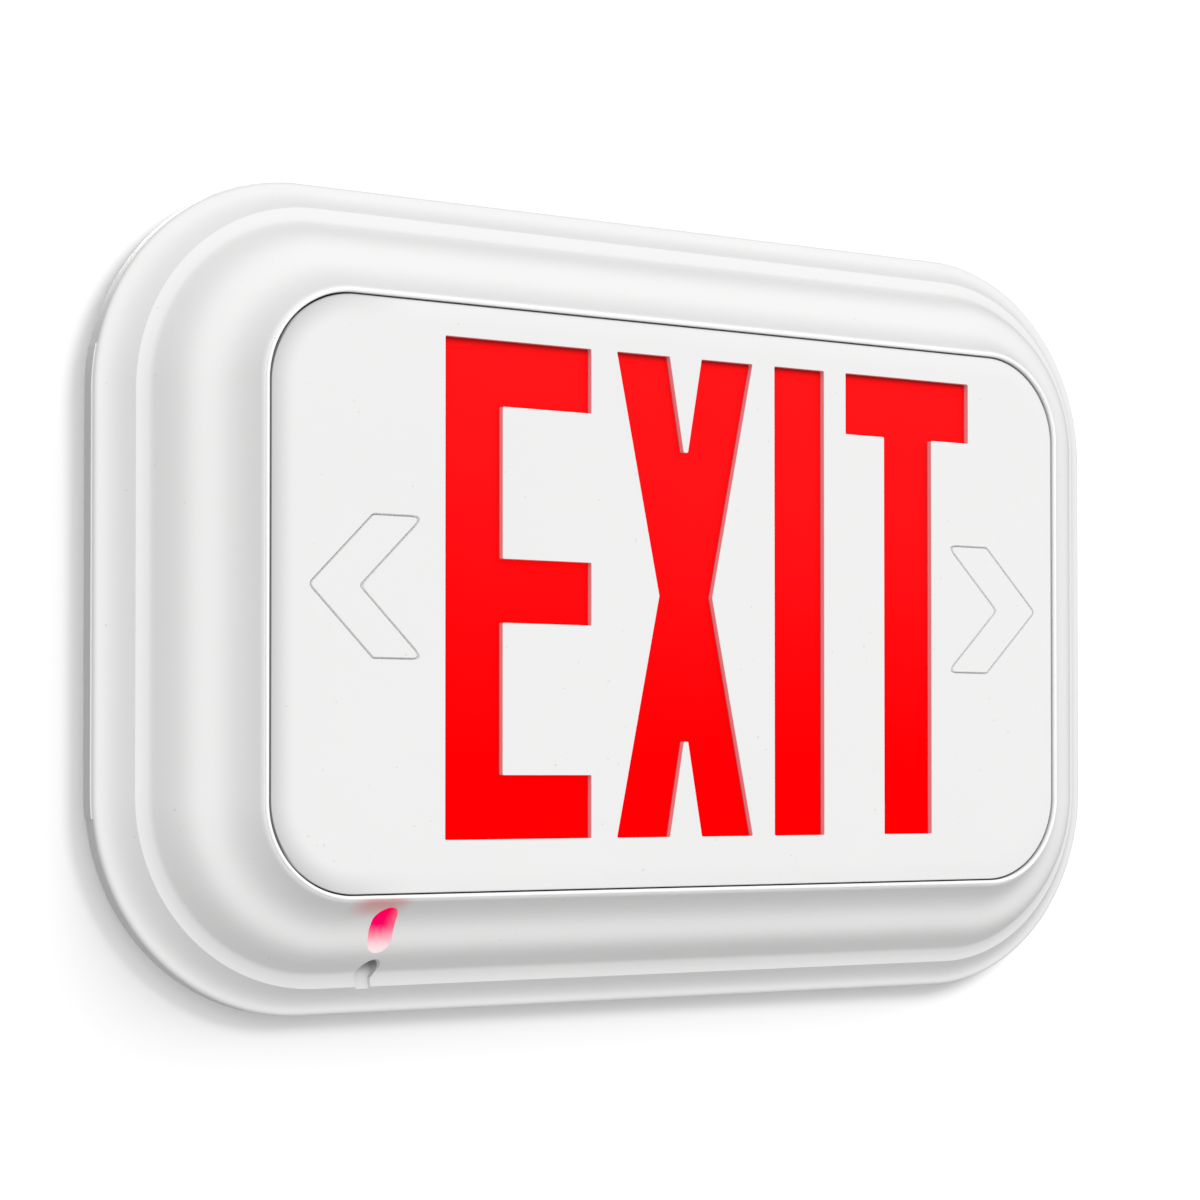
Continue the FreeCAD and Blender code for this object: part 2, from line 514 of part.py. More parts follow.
def arrow(tip, side, grow):
    """A knock-out arrow head at 45 degrees, pointing to one side, grown outwards all round by a length."""
    slant = f"{grow} * {math.sqrt(2)}"
    reach = f"(arrow_reach + {grow})"
    inner = f"-arrow_width - {slant}"
    points = [(slant, "0"), (f"{slant} - {reach}", reach), (f"{inner} - {reach}", reach), (inner, "0"),
              (f"{inner} - {reach}", f"-{reach}"), (f"{slant} - {reach}", f"-{reach}")]
    return [(f"{tip} + {side} * ({x})", f"{LEGEND_Z} + {z}") for x, z in points]


def make_face_plate():
    body = new_body("FacePlateBody")

    def outline(index, inset, level):
        sketch = sketch_in(body, f"FaceOutline{index}", level)
        draw_rounded_rectangle(sketch, f"2 * ({FACE_X} - {inset})", f"2 * ({FACE_Z} - {inset})",
                               f"{WELL_CORNER} + face_corner_ease - {inset}")
        return sketch

    side = outline("Side", "0", FACE_REAR)
    pad(body, "FacePad", side, "face_thickness - face_round")
    turns = [90 * index / ROUND_FACETS for index in range(ROUND_FACETS + 1)]
    edge = [outline(index, f"face_round * (1 - cos({turn} deg))", f"face_front - face_round * (1 - sin({turn} deg))")
            for index, turn in enumerate(turns)]
    feature(body, "AdditiveLoft", "FaceRound", edge[0], Ruled=True).Sections = edge[1:]
    letters = sketch_in(body, "FaceLetters", "face_front")
    for corners in (letter_e(), letter_x(), letter_i(), letter_t()):
        draw_outline(letters, corners)
    bind(feature(body, "Pocket", "FaceLetterPocket", letters), "Length", "face_thickness")
    grooves = sketch_in(body, "FaceGrooves", "face_front")
    for tip, side in ((LEFT_TIP, -1), (RIGHT_TIP, 1)):
        draw_outline(grooves, arrow(tip, side, "0"))
        draw_outline(grooves, arrow(tip, side, "(-groove)"))
    bind(feature(body, "Pocket", "FaceGroovePocket", grooves), "Length", "face_thickness - groove_web")

    snaps = []
    for index, (a, side) in enumerate(MIRRORS):
        stem, barb = f"({FACE_Z} - snap_thickness)", f"({FACE_Z} - snap_thickness - snap_barb)"
        tip = f"({LEDGE_REAR} - snap_reach)"
        along = (f"{a} * {SNAP_X} - snap_width / 2", f"{a} * {SNAP_X} + snap_width / 2")
        snaps.append(slab(f"SnapStem{index}", along, (tip, f"({FACE_REAR} + (face_thickness - face_round) / 2)"),
                          mirrored(side, stem, FACE_Z)))
        snaps.append(slab(f"SnapBarb{index}", along, (tip, f"{LEDGE_REAR} - seat_gap"), mirrored(side, barb, stem)))
    return finish(fuse("FacePlate", [body] + snaps), "face_plate")


# Diffuser and light box --------------------------------------------------------------------------

def make_diffuser():
    """A flat sheet behind the cut-outs, between the ledge and the face plate."""
    return finish(rounded_plate("Diffuser", f"2 * ({FACE_X} - diffuser_margin)", f"2 * ({FACE_Z} - diffuser_margin)",
                                f"{WELL_CORNER} - diffuser_margin", (LEDGE_FRONT, FACE_REAR)), "red_diffuser")


def make_light_box():
    tray = rounded_plate("Tray", TRAY_WIDTH, TRAY_HEIGHT, TRAY_CORNER, (TRAY_BACK, TRAY_RIM))
    space = rounded_plate("TraySpace", f"{TRAY_WIDTH} - 2 * tray_wall", f"{TRAY_HEIGHT} - 2 * tray_wall",
                          f"{TRAY_CORNER} - tray_wall", (TRAY_FLOOR, f"{TRAY_RIM} + {PASS}"))
    holes = around(TRAY_HOLES, lambda i, x, z: post(f"TrayHole{i}", x, z, "screw_radius + screw_ease", ("0", TRAY_RIM)))
    slots = around(LEAD_SLOTS, lambda i, x, z: block(f"TrayLeadSlot{i}", x, z, "lead_slot", "lead_slot / 2",
                                                     ("0", f"{TRAY_FLOOR} + {PASS}")))
    ribs = [block(f"TrayRib{i}", f"{side} * {STRIP_LENGTH} / 6", "0", "tray_wall", f"{TRAY_HEIGHT} - 2 * tray_rib_end",
                  (f"{TRAY_BACK} - tray_rib_rise", TRAY_FLOOR)) for i, side in enumerate((-1, 1))]
    tray = fuse("TrayWithRibs", [tray] + ribs)
    return finish(cut("LightBox", tray, [space] + holes + slots), "light_box")


def make_led_strips():
    """Two strips of lamps on the tray's long walls, as many lamps as the pitch lets on."""
    middle = f"(({TRAY_FLOOR} + {TRAY_RIM}) / 2)"
    count = int(value(f"{STRIP_LENGTH} / led_pitch"))
    face = f"({STRIP_SEAT} - board_thickness)"
    for name, side in (("top", 1), ("bottom", -1)):
        finish(slab(f"Strip{name}", (f"-{STRIP_LENGTH} / 2", f"{STRIP_LENGTH} / 2"),
                    (f"{middle} - strip_width / 2", f"{middle} + strip_width / 2"), mirrored(side, face, STRIP_SEAT)),
               f"led_board_{name}")
        lamps = [slab(f"Lamp{name}{i}", (f"({i - (count - 1) / 2}) * led_pitch - led_length / 2",
                                         f"({i - (count - 1) / 2}) * led_pitch + led_length / 2"),
                      (f"{middle} - led_width / 2", f"{middle} + led_width / 2"),
                      mirrored(side, f"({face} - led_rise)", face)) for i in range(count)]
        finish(group(f"Lamps{name}", lamps), f"leds_{name}")


# Back plate --------------------------------------------------------------------------------------

def make_back_plate():
    plate = rounded_plate("Plate", "housing_width - 2 * (wall + plate_gap)", "housing_height - 2 * (wall + plate_gap)",
                          "housing_corner - wall - plate_gap", ("0", "plate_thickness"))
    rail_width, rail_height = f"(2 * {RAIL_OUT_X})", f"(2 * {RAIL_OUT_Z})"
    rail = rounded_ring("Rail", (rail_width, rail_height, "housing_corner - rail_inset"),
                        (f"{rail_width} - 2 * rail_thickness", f"{rail_height} - 2 * rail_thickness",
                         "housing_corner - rail_inset - rail_thickness"), ("plate_thickness", "rail_top"))
    root = "(plate_thickness / 2)"
    solids = [plate, rail, post("WireCollar", "0", "0", "wire_hole + wire_collar", (root, "collar_top"))]
    solids += around(SCREWED_HOLES, lambda i, x, z: post(f"BoardPost{i}", x, z, "post_radius", (root, BOARD_REAR)))
    solids += around(PEGGED_HOLES, lambda i, x, z: block(f"BoardRest{i}", x, z, "2 * post_radius", "rib_thickness",
                                                         (root, BOARD_REAR)))
    solids += around(SMALL_HOLES, lambda i, x, z: post(f"SmallPost{i}", x, z, "small_post_radius", (root, BOARD_REAR)))
    solids += around(TRAY_HOLES, lambda i, x, z: post(f"TrayPost{i}", x, z, "post_radius", (root, TRAY_BACK)))
    for i, (x, z) in enumerate(TRAY_RESTS):
        solids.append(block(f"TrayRestAcross{i}", x, z, "2 * post_radius", "rib_thickness", (root, TRAY_BACK)))
        solids.append(block(f"TrayRestAlong{i}", x, z, "rib_thickness", "2 * post_radius", (root, TRAY_BACK)))
    solids += around(STRAP_HOLES, lambda i, x, z: block(f"StrapPost{i}", x, z, "strap_width", "strap_foot",
                                                        (root, BOARD_REAR)))

    # A cradle holds the cells: a wall along each side and a stop at each end
    cradle_level = (root, "plate_thickness + cell_radius")
    for i, a in enumerate((-1, 1)):
        wall_z = f"battery_z + {a} * (3 * cell_radius + wrap + seat_gap + cradle / 2)"
        solids.append(block(f"Cradle{i}", BATTERY_X, wall_z, "cradle_length", "cradle", cradle_level))
        solids.append(block(f"CradleEnd{i}", f"{BATTERY_X} + {a} * (cell_length / 2 + wrap + seat_gap + cradle / 2)",
                            "battery_z", "cradle", "cell_radius", cradle_level))

    # Ribs stiffen the sheet round the wiring hole, clear of the rail, the control board and the battery
    rib_z = f"({TRAY_POST_Z} - rib_to_post)"
    rib_x = (f"({BOARD_X} + board_width / 2 + rib_to_board)", f"({BATTERY_X} - cell_length / 2 - rib_to_battery)")
    reach = f"({RAIL_OUT_X} - rail_thickness - rib_to_rail)"
    for i, (side, start) in enumerate(((-1, rib_x[0]), (1, f"-{reach}"))):
        solids.append(slab(f"LongRib{i}", (start, reach), (root, "rib_top"),
                           (f"{side} * {rib_z} - rib_thickness / 2", f"{side} * {rib_z} + rib_thickness / 2")))
        solids.append(slab(f"CrossRib{i}", (f"{rib_x[i]} - rib_thickness / 2", f"{rib_x[i]} + rib_thickness / 2"),
                           (root, "rib_top"), (f"-{rib_z}", rib_z)))
    whole = fuse("BackPlateSolid", solids)

    clear = (f"-{PASS}", f"plate_thickness + {PASS}")
    cuts = [post("WireHole", "0", "0", "wire_hole", (f"-{PASS}", f"collar_top + {PASS}"))]
    cuts += [post(f"BoxScrewHole{i}", f"{a} * box_screw_spacing / 2", "0", "box_screw_hole", clear)
             for i, a in enumerate((-1, 1))]
    for i, a in enumerate((-1, 1)):
        x, top = f"{a} * keyhole_spacing / 2", "(housing_height / 2 - keyhole_inset)"
        cuts.append(post(f"KeyholeHead{i}", x, f"{top} - keyhole_drop", "keyhole_head", clear))
        cuts.append(obround(f"KeyholeSlot{i}", x, f"{top} - keyhole_drop / 2", "2 * keyhole_slot",
                            "keyhole_drop + 2 * keyhole_slot", clear))
    pilot_level = ("plate_thickness / 2", f"{BOARD_REAR} + {PASS}")
    cuts += around(SCREWED_HOLES + SMALL_HOLES, lambda i, x, z: post(f"BoardPilot{i}", x, z, "pilot", pilot_level))
    cuts += around(TRAY_HOLES, lambda i, x, z: post(f"TrayPilot{i}", x, z, "pilot",
                                                    (f"{TRAY_BACK} - tray_screw_length", f"{TRAY_BACK} + {PASS}")))
    window = ("window_bottom", "window_top")
    half = "(hook_width / 2 + window_ease)"
    for i, (a, side) in enumerate(MIRRORS):
        cuts.append(slab(f"Window{i}", (f"{a} * {HOOK_X} - {half}", f"{a} * {HOOK_X} + {half}"), window,
                         mirrored(side, f"{RAIL_OUT_Z} - rail_thickness - {PASS}", f"{RAIL_OUT_Z} + {PASS}")))
    for i, side in enumerate((-1, 1)):
        cuts.append(slab(f"EndWindow{i}", mirrored(side, f"{RAIL_OUT_X} - rail_thickness - {PASS}",
                                                   f"{RAIL_OUT_X} + {PASS}"), window, (f"-{half}", half)))
    return finish(cut("BackPlate", whole, cuts), "back_plate")


# Screws ------------------------------------------------------------------------------------------

def screw(name, x, z, seat, length):
    """A pan-head screw driven towards the wall, with its head on the height given by seat; both parts have facets."""
    pieces = []
    for label, radius, low, high in (("Shank", "screw_radius", f"{seat} - {length}", seat),
                                     ("Head", "head_radius", seat, f"{seat} + head_rise")):
        item = doc.addObject("Part::Prism", name + label)
        item.Polygon = SCREW_SIDES
        bind(item, "Circumradius", radius)
        bind(item, "Height", f"({high}) - ({low})")
        pieces.append(place(item, x, low, z, OUT_OF_WALL))
    return fuse(name, pieces)


def make_screws():
    finish(group("BoardScrewGroup", around(SCREWED_HOLES + SMALL_HOLES, lambda i, x, z: screw(
        f"BoardScrew{i}", x, z, BOARD_FRONT, "board_screw_length"))), "board_screws")
    finish(group("TrayScrewGroup", around(TRAY_HOLES, lambda i, x, z: screw(
        f"TrayScrew{i}", x, z, TRAY_FLOOR, "tray_screw_length"))), "light_box_screws")


# Control board -----------------------------------------------------------------------------------

PLUG_ROW = "(board_height / 2 - plug_inset - plug_width)"
COIL_DX = "(coil_to_edge + coil_width / 2 - board_width / 2)"
FILM_DX = "(film_to_edge + film_length / 2 - board_width / 2)"
FILM_DZ = f"(row_gap + film_width / 2 - {PLUG_ROW})"
RELAY_DX = f"({FILM_DX} + film_length / 2 + part_gap + relay_length / 2)"
RELAY_DZ = f"(row_gap + relay_width / 2 - {PLUG_ROW})"
CAN_DX = f"({COIL_DX} + coil_width / 2 + 2 * part_gap)"
BLOCK_DX = "(board_width / 2 - block_inset - block_width / 2)"
BATTERY_PLUG_DZ = "(board_hole_inset + head_radius + plug_to_screw + plug_length / 2 - board_height / 2)"
PLUGS = {
    "Battery": (f"({BOARD_X} + board_width / 2 - plug_inset - plug_width / 2)", f"(board_z + {BATTERY_PLUG_DZ})"),
    "TopLamps": (f"({BOARD_X} + {COIL_DX})", f"(board_z + {PLUG_ROW} + plug_width / 2)"),
    "BottomLamps": (f"({BOARD_X} + {COIL_DX})", f"(board_z - {PLUG_ROW} - plug_width / 2)"),
    "Switch": (f"({BOARD_X} + {RELAY_DX})", f"(board_z - {PLUG_ROW} - plug_width / 2)"),
}


def on_board(name, dx, dz, length, width, rise):
    """A part standing on the control board, placed from the board's centre."""
    return block(name, f"{BOARD_X} + {dx}", f"board_z + {dz}", length, width, (BOARD_FRONT, f"{BOARD_FRONT} + {rise}"))


def softened(name, case, radius):
    """The case with its four upright edges rounded."""
    doc.recompute()
    rise = case.Shape.BoundBox.YLength
    return rounded(name, case, radius, lambda edge: edge.BoundBox.YLength > rise / 2)


def make_control_board():
    board = block("Board", BOARD_X, "board_z", "board_width", "board_height", (BOARD_REAR, BOARD_FRONT))
    holes = around(SCREWED_HOLES, lambda i, x, z: post(f"BoardHole{i}", x, z, "screw_radius + screw_ease",
                                                       (f"{BOARD_REAR} - {PASS}", f"{BOARD_FRONT} + {PASS}")))
    finish(cut("ControlBoard", board, holes), "control_board")

    # Transformer: an E core with its winding standing out of both sides, on a moulded foot
    core = on_board("Core", COIL_DX, "coil_z", "coil_width", "coil_height * 0.55", "coil_rise")
    winding = block("Winding", f"{BOARD_X} + {COIL_DX}", "board_z + coil_z", "coil_width * 0.66", "coil_height",
                    (f"{BOARD_FRONT} + coil_foot", f"{BOARD_FRONT} + coil_rise - coil_foot"))
    foot = on_board("BobbinFoot", COIL_DX, "coil_z", "coil_width * 0.8", "coil_height * 1.1", "coil_foot")
    finish(fuse("Transformer", [core, winding, foot]), "transformer")

    case = on_board("FilmCase", FILM_DX, FILM_DZ, "film_length", "film_width", "film_rise")
    finish(softened("FilmCapacitor", case, "film_round"), "film_capacitor")
    case = on_board("RelayCase", RELAY_DX, RELAY_DZ, "relay_length", "relay_width", "relay_rise")
    finish(softened("Relay", case, "relay_round"), "transfer_relay")

    cans = [post(f"Can{i}", f"{BOARD_X} + {CAN_DX} + {i} * (2 * can_radius + can_gap)", "board_z + can_z", "can_radius",
                 (BOARD_FRONT, f"{BOARD_FRONT} + can_rise")) for i in range(2)]
    finish(group("Cans", cans), "smoothing_capacitors")

    # Terminal block: three wire ports in its side
    terminal = on_board("TerminalStock", BLOCK_DX, "block_z", "block_width", "block_length", "block_rise")
    face = f"({BOARD_X} + {BLOCK_DX} + block_width / 2)"
    rows = [f"(board_z + block_z + {i} * port_pitch)" for i in (-1, 0, 1)]
    ports = [slab(f"Port{i}", (f"{face} - port_depth", f"{face} + {PASS}"),
                  (f"{BOARD_FRONT} + port_bottom", f"{BOARD_FRONT} + port_top"),
                  (f"{z} - port_width / 2", f"{z} + port_width / 2")) for i, z in enumerate(rows)]
    finish(cut("TerminalBlock", terminal, ports), "terminal_block")

    plugs = [block(f"Plug{name}", x, z, *(("plug_width", "plug_length") if name == "Battery" else
                                          ("plug_length", "plug_width")), (BOARD_FRONT, f"{BOARD_FRONT} + plug_rise"))
             for name, (x, z) in PLUGS.items()]
    finish(group("Plugs", plugs), "lead_plugs")


# Battery -----------------------------------------------------------------------------------------

def make_battery():
    """Three cells side by side in one shrink sleeve, strapped down between the cradle's walls."""
    level = "(plate_thickness + seat_gap + wrap + cell_radius)"

    def lying(name, offset, radius, length):
        item = doc.addObject("Part::Cylinder", name)
        bind(item, "Radius", radius)
        bind(item, "Height", length)
        return place(item, f"{BATTERY_X} - ({length}) / 2", level, f"battery_z + ({offset})",
                     FreeCAD.Rotation(V(0, 1, 0), 90))

    sleeve = "cell_length + 2 * wrap"
    rows = [lying(f"Cell{i}", f"{i} * 2 * cell_radius", "cell_radius + wrap", sleeve) for i in (-1, 0, 1)]
    web = block("Sleeve", BATTERY_X, "battery_z", sleeve, "4 * cell_radius",
                (f"{level} - cell_radius * 0.82", f"{level} + cell_radius * 0.82"))
    finish(fuse("Battery", rows + [web]), "battery_pack")

    top = f"({level} + cell_radius + wrap + seat_gap)"
    outer = "(3 * cell_radius + wrap + cradle + 2 * seat_gap)"
    strap = [block("StrapTop", BATTERY_X, "battery_z", "strap_width", f"2 * {outer} + 2 * strap_thickness",
                   (top, f"{top} + strap_thickness"))]
    for i, a in enumerate((-1, 1)):
        strap.append(block(f"StrapLeg{i}", BATTERY_X, f"battery_z + {a} * ({outer} + strap_thickness / 2)",
                           "strap_width", "strap_thickness", (BOARD_REAR, f"{top} + strap_thickness")))
        strap.append(block(f"StrapFoot{i}", BATTERY_X, f"battery_z + {a} * ({outer} + strap_foot / 2)",
                           "strap_width", "strap_foot", (BOARD_REAR, f"({BOARD_REAR} + strap_thickness)")))
    finish(fuse("Strap", strap), "battery_strap")


# Test button and its switch ----------------------------------------------------------------------

def make_test_button():
    """An upright obround push button, cut to the bezel's slope, with two ears that stop it inside."""
    head = common("ButtonHead", obround("ButtonForm", BUTTON_X, BUTTON_Z, "button_width", "button_length",
                                        ("collar_end - seat_gap - ear_thickness", "lip_top")),
                  doc.getObject("Outside"))
    ears = block("ButtonEars", BUTTON_X, BUTTON_Z, "button_width + 2 * button_gap + 2 * ear_reach", "ear_length",
                 ("collar_end - seat_gap - ear_thickness", "collar_end - seat_gap"))
    stem = post("ButtonStem", BUTTON_X, BUTTON_Z, "stem_radius", (PLUNGER_TOP, "collar_end - seat_gap"))
    finish(fuse("TestButton", [head, ears, stem]), "test_button")


def make_switch():
    board = block("SmallBoard", BUTTON_X, BUTTON_Z, "small_board_width", "small_board_height",
                  (BOARD_REAR, BOARD_FRONT))
    holes = around(SMALL_HOLES, lambda i, x, z: post(f"SmallHole{i}", x, z, "screw_radius + screw_ease",
                                                     (f"{BOARD_REAR} - {PASS}", f"{BOARD_FRONT} + {PASS}")))
    finish(cut("SwitchBoard", board, holes), "switch_board")

    case = block("SwitchCase", BUTTON_X, BUTTON_Z, "switch_side", "switch_side",
                 (BOARD_FRONT, f"{BOARD_FRONT} + switch_rise"))
    well = post("SwitchWell", BUTTON_X, BUTTON_Z, "plunger_radius + plunger_gap",
                (f"{BOARD_FRONT} + switch_rise / 4", f"{BOARD_FRONT} + switch_rise + {PASS}"))
    finish(cut("SwitchBody", case, [well]), "test_switch")
    plunger = post("Plunger", BUTTON_X, BUTTON_Z, "plunger_radius",
                   (f"{BOARD_FRONT} + switch_rise / 4 + travel + plunger_gap", PLUNGER_TOP))
    finish(plunger, "switch_plunger")

    lamp_z = f"({BUTTON_Z} - switch_side / 2 - lamp_to_switch - lamp_radius)"
    finish(post("Lamp", BUTTON_X, lamp_z, "lamp_radius", (BOARD_FRONT, f"{BOARD_FRONT} + lamp_rise")), "charge_lamp")


# Leads -------------------------------------------------------------------------------------------

def lead(name, route):
    """A flat pair of wires: straight runs joined by tangent arcs; route holds (x, height, z) formulas.

    The section starts square to the first run. Each run extrudes it and each bend turns it about the bend's centre.
    """
    points = [V(value(x), -value(level), value(z)) for x, level, z in route]
    ways = [(after - before).normalize() for before, after in zip(points, points[1:])]
    radius, half = value("lead_bend"), value("lead_radius")
    side = ways[0].cross(V(0, 1, 0)).normalize() * half
    over = V(0, 1, 0) * half / 2
    corners = [points[0] + side + over, points[0] - side + over, points[0] - side - over, points[0] + side - over]
    section = Part.Face(Part.makePolygon(corners + corners[:1]))
    solids, here = [], points[0]
    for corner, way, onward in zip(points[1:], ways, ways[1:]):
        turn = way.getAngle(onward)
        start = corner - way * (radius * math.tan(turn / 2))
        run = section.extrude(start - here)
        section.translate(start - here)
        axis = way.cross(onward).normalize()
        centre = start + axis.cross(way) * radius
        solids += [run, section.revolve(centre, axis, math.degrees(turn))]
        section = section.rotated(centre, axis, math.degrees(turn))
        here = corner + onward * (radius * math.tan(turn / 2))
    solids.append(section.extrude(points[-1] - here))
    item = doc.addObject("Part::Feature", name)
    item.Shape = solids[0].multiFuse(solids[1:]).removeSplitter().Solids[0]
    return finish(item, name)


def make_leads():
    """Leads from the control board's plugs to the battery, the switch board and both lamp strips."""
    plug = f"({BOARD_FRONT} + plug_rise / 2)"
    over_ribs = "(rib_top + lead_radius + seat_gap)"
    on_floor = f"({BOARD_FRONT} + lead_radius + seat_gap)"

    x, row = PLUGS["Battery"]
    end, pack = f"({x} + plug_width / 2)", f"({BATTERY_X} - cell_length / 2)"
    level = "(plate_thickness + cell_radius + seat_gap)"
    down = f"({end} + lead_reach)"
    lead("battery_leads", [(end, plug, row), (down, plug, row), (down, over_ribs, row),
                           (f"{pack} - 1.5 * lead_reach", over_ribs, row), (f"{pack} - lead_reach", level, row),
                           (f"{pack} - wrap", level, row)])

    x, z = PLUGS["Switch"]
    edge = f"({z} - plug_width / 2)"
    landing = f"({BUTTON_Z} + small_board_height / 2 - small_hole_inset)"
    lead("switch_leads", [(x, plug, edge), (x, plug, f"{edge} - lead_reach"), (x, on_floor, f"{edge} - lead_reach"),
                          (x, on_floor, landing)])

    for name, up, (slot_x, slot_z) in (("Top", 1, LEAD_SLOTS[0]), ("Bottom", -1, LEAD_SLOTS[1])):
        x, z = PLUGS[name + "Lamps"]
        edge = f"({z} + {up} * plug_width / 2)"
        turn = f"({up} * ({TRAY_POST_Z} - post_radius - lead_to_post))"
        lead(f"{name.lower()}_lamp_leads", [(x, plug, edge), (x, plug, turn), (slot_x, plug, turn),
                                            (slot_x, plug, slot_z), (slot_x, f"{TRAY_FLOOR} + lead_end", slot_z)])


# Build, check and write --------------------------------------------------------------------------

make_back_plate()
make_front_housing()
make_face_plate()
make_diffuser()
make_light_box()
make_led_strips()
make_control_board()
make_battery()
make_test_button()
make_switch()
make_screws()
make_leads()
doc.recompute()

for item in doc.Objects:
    if "Invalid" in item.State or "Error" in item.State:
        raise RuntimeError(f"{item.Name} failed: {item.State}")
for item in parts:
    if item.Shape.isNull() or not item.Shape.isValid():
        raise RuntimeError(f"{item.Label} has no valid shape")

os.makedirs("parts", exist_ok=True)
for item in parts:
    item.Shape.exportStep(f"parts/{item.Label}.step")
    print(item.Label, len(item.Shape.Solids), "solids", round(item.Shape.Volume), "mm3")
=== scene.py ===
# %% [markdown]
# # An emergency exit light, dressed for rendering
#
# The sign is a flat white housing that hangs on a wall. A deep ogee bezel frames a stencil plate, red light
# shines through the plate's cut-outs, and a small lit test button sits in the bezel's lower slope.
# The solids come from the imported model. This lesson gives them their finish and makes finer surfaces
# where the eye rests: the bezel, the stencil plate and the button.

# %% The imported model
import math
import bpy
import numpy as np
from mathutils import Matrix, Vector


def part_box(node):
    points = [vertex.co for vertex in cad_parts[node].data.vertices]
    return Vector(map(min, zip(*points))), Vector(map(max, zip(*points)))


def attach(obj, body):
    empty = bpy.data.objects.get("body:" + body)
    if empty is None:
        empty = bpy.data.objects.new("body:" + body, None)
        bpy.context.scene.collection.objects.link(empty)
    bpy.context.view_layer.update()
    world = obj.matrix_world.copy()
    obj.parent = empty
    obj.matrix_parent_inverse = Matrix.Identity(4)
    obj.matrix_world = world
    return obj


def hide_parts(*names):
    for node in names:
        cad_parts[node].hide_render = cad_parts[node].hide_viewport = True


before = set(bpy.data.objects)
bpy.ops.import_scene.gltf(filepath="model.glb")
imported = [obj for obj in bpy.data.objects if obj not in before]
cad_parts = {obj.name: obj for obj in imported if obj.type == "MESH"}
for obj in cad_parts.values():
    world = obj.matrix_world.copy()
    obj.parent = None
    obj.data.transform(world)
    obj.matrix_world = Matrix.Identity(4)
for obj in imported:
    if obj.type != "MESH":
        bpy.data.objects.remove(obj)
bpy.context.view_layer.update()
MM = 0.001

# %% [markdown]
# ## Sizes
#
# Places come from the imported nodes' boxes. The bezel's section is not in the boxes, so its few levels are
# named here in millimetres, as a maker reads them from the drawing: insets from the outline, levels from the wall.
# A pair of insets is the one from the sides, then the one from the top and the foot.

# %% Sizes
housing_low, housing_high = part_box("front_housing")
face_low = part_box("face_plate")[0]
side_pad = 0.4
half_width = (housing_high.x - housing_low.x) / 2 / MM - side_pad
half_height = (housing_high.z - housing_low.z) / 2 / MM
corner = 67.6
wall = 1.8
rear_lift, rim_edge, edge_round = -housing_high.y / MM, 6.8, 1.6
bead_inset, bead_level, bead_sag = (10.1, 8.75), 13.7, 0.3
valley_inset, valley_level = (14.0, 13.35), 15.3
lip_inset, lip_level, lip_corner = (39.7, 36.3), -housing_low.y / MM, 29.5
lip_thickness, ogee_bow = 1.3, 0.72
face_front, face_thickness = -face_low.y / MM, 2.4
plate_gap, plate_roll, plate_drop = 0.45, 7.0, 1.0
plate_inset = tuple(inset + lip_thickness + plate_gap for inset in lip_inset)
plate_corner, plate_edge = lip_corner - lip_thickness - plate_gap + 0.5, face_front - plate_drop
ledge_width, ledge_front, ledge_rear, skirt_end = 7.0, 34.9, 32.9, 25.3
print("half outline:", round(half_width, 2), round(half_height, 2), "lip level:", round(lip_level, 2))


# %% [markdown]
# ## A small language for shaders
#
# Shader nodes are easier to read as sums than as boxes and wires. A wire remembers the socket it comes out of,
# and adding or multiplying wires adds Math nodes. Every other node comes from one method.

# %% Wires
class Wire:
    """One output socket of a node tree. Arithmetic on it adds Math nodes."""

    def __init__(self, shading, socket):
        self.shading, self.socket = shading, socket

    def math(self, operation, *values):
        return self.shading.node("ShaderNodeMath", {"operation": operation}, dict(enumerate(values)))

    def __add__(self, other):
        return self.math("ADD", self, other)

    def __sub__(self, other):
        return self.math("SUBTRACT", self, other)

    def __rsub__(self, other):
        return self.math("SUBTRACT", other, self)

    def __mul__(self, other):
        return self.math("MULTIPLY", self, other)

    def __truediv__(self, other):
        return self.math("DIVIDE", self, other)

    def __pow__(self, other):
        return self.math("POWER", self, other)

    def absolute(self):
        return self.math("ABSOLUTE", self)

    def at_least(self, other):
        return self.math("MAXIMUM", self, other)

    def smooth(self, low, high):
        """0 below low, 1 above high, and a soft S between."""
        return self.shading.node("ShaderNodeMapRange", {"interpolation_type": "SMOOTHSTEP"},
                                 {"Value": self, "From Min": low, "From Max": high, "To Min": 0.0, "To Max": 1.0})

    __radd__, __rmul__ = __add__, __mul__


class Shading:
    """A node tree, with the one method that makes a node, sets it up and wires its sockets."""

    def __init__(self, tree):
        self.tree = tree

    def feed(self, socket, value):
        """Link a wire to a socket, or set the socket to a number, a colour or a vector."""
        if isinstance(value, Wire):
            self.tree.links.new(value.socket, socket)
        elif isinstance(value, tuple) and len(value) == 3 and socket.type == "RGBA":
            socket.default_value = (*value, 1.0)
        else:
            socket.default_value = value

    def node(self, kind, settings=None, inputs=None, out=0):
        item = self.tree.nodes.new(kind)
        for key, setting in (settings or {}).items():
            setattr(item, key, setting)
        for key, value in (inputs or {}).items():
            self.feed(item.inputs[key], value)
        return Wire(self, item.outputs[out])


print("wires ready")


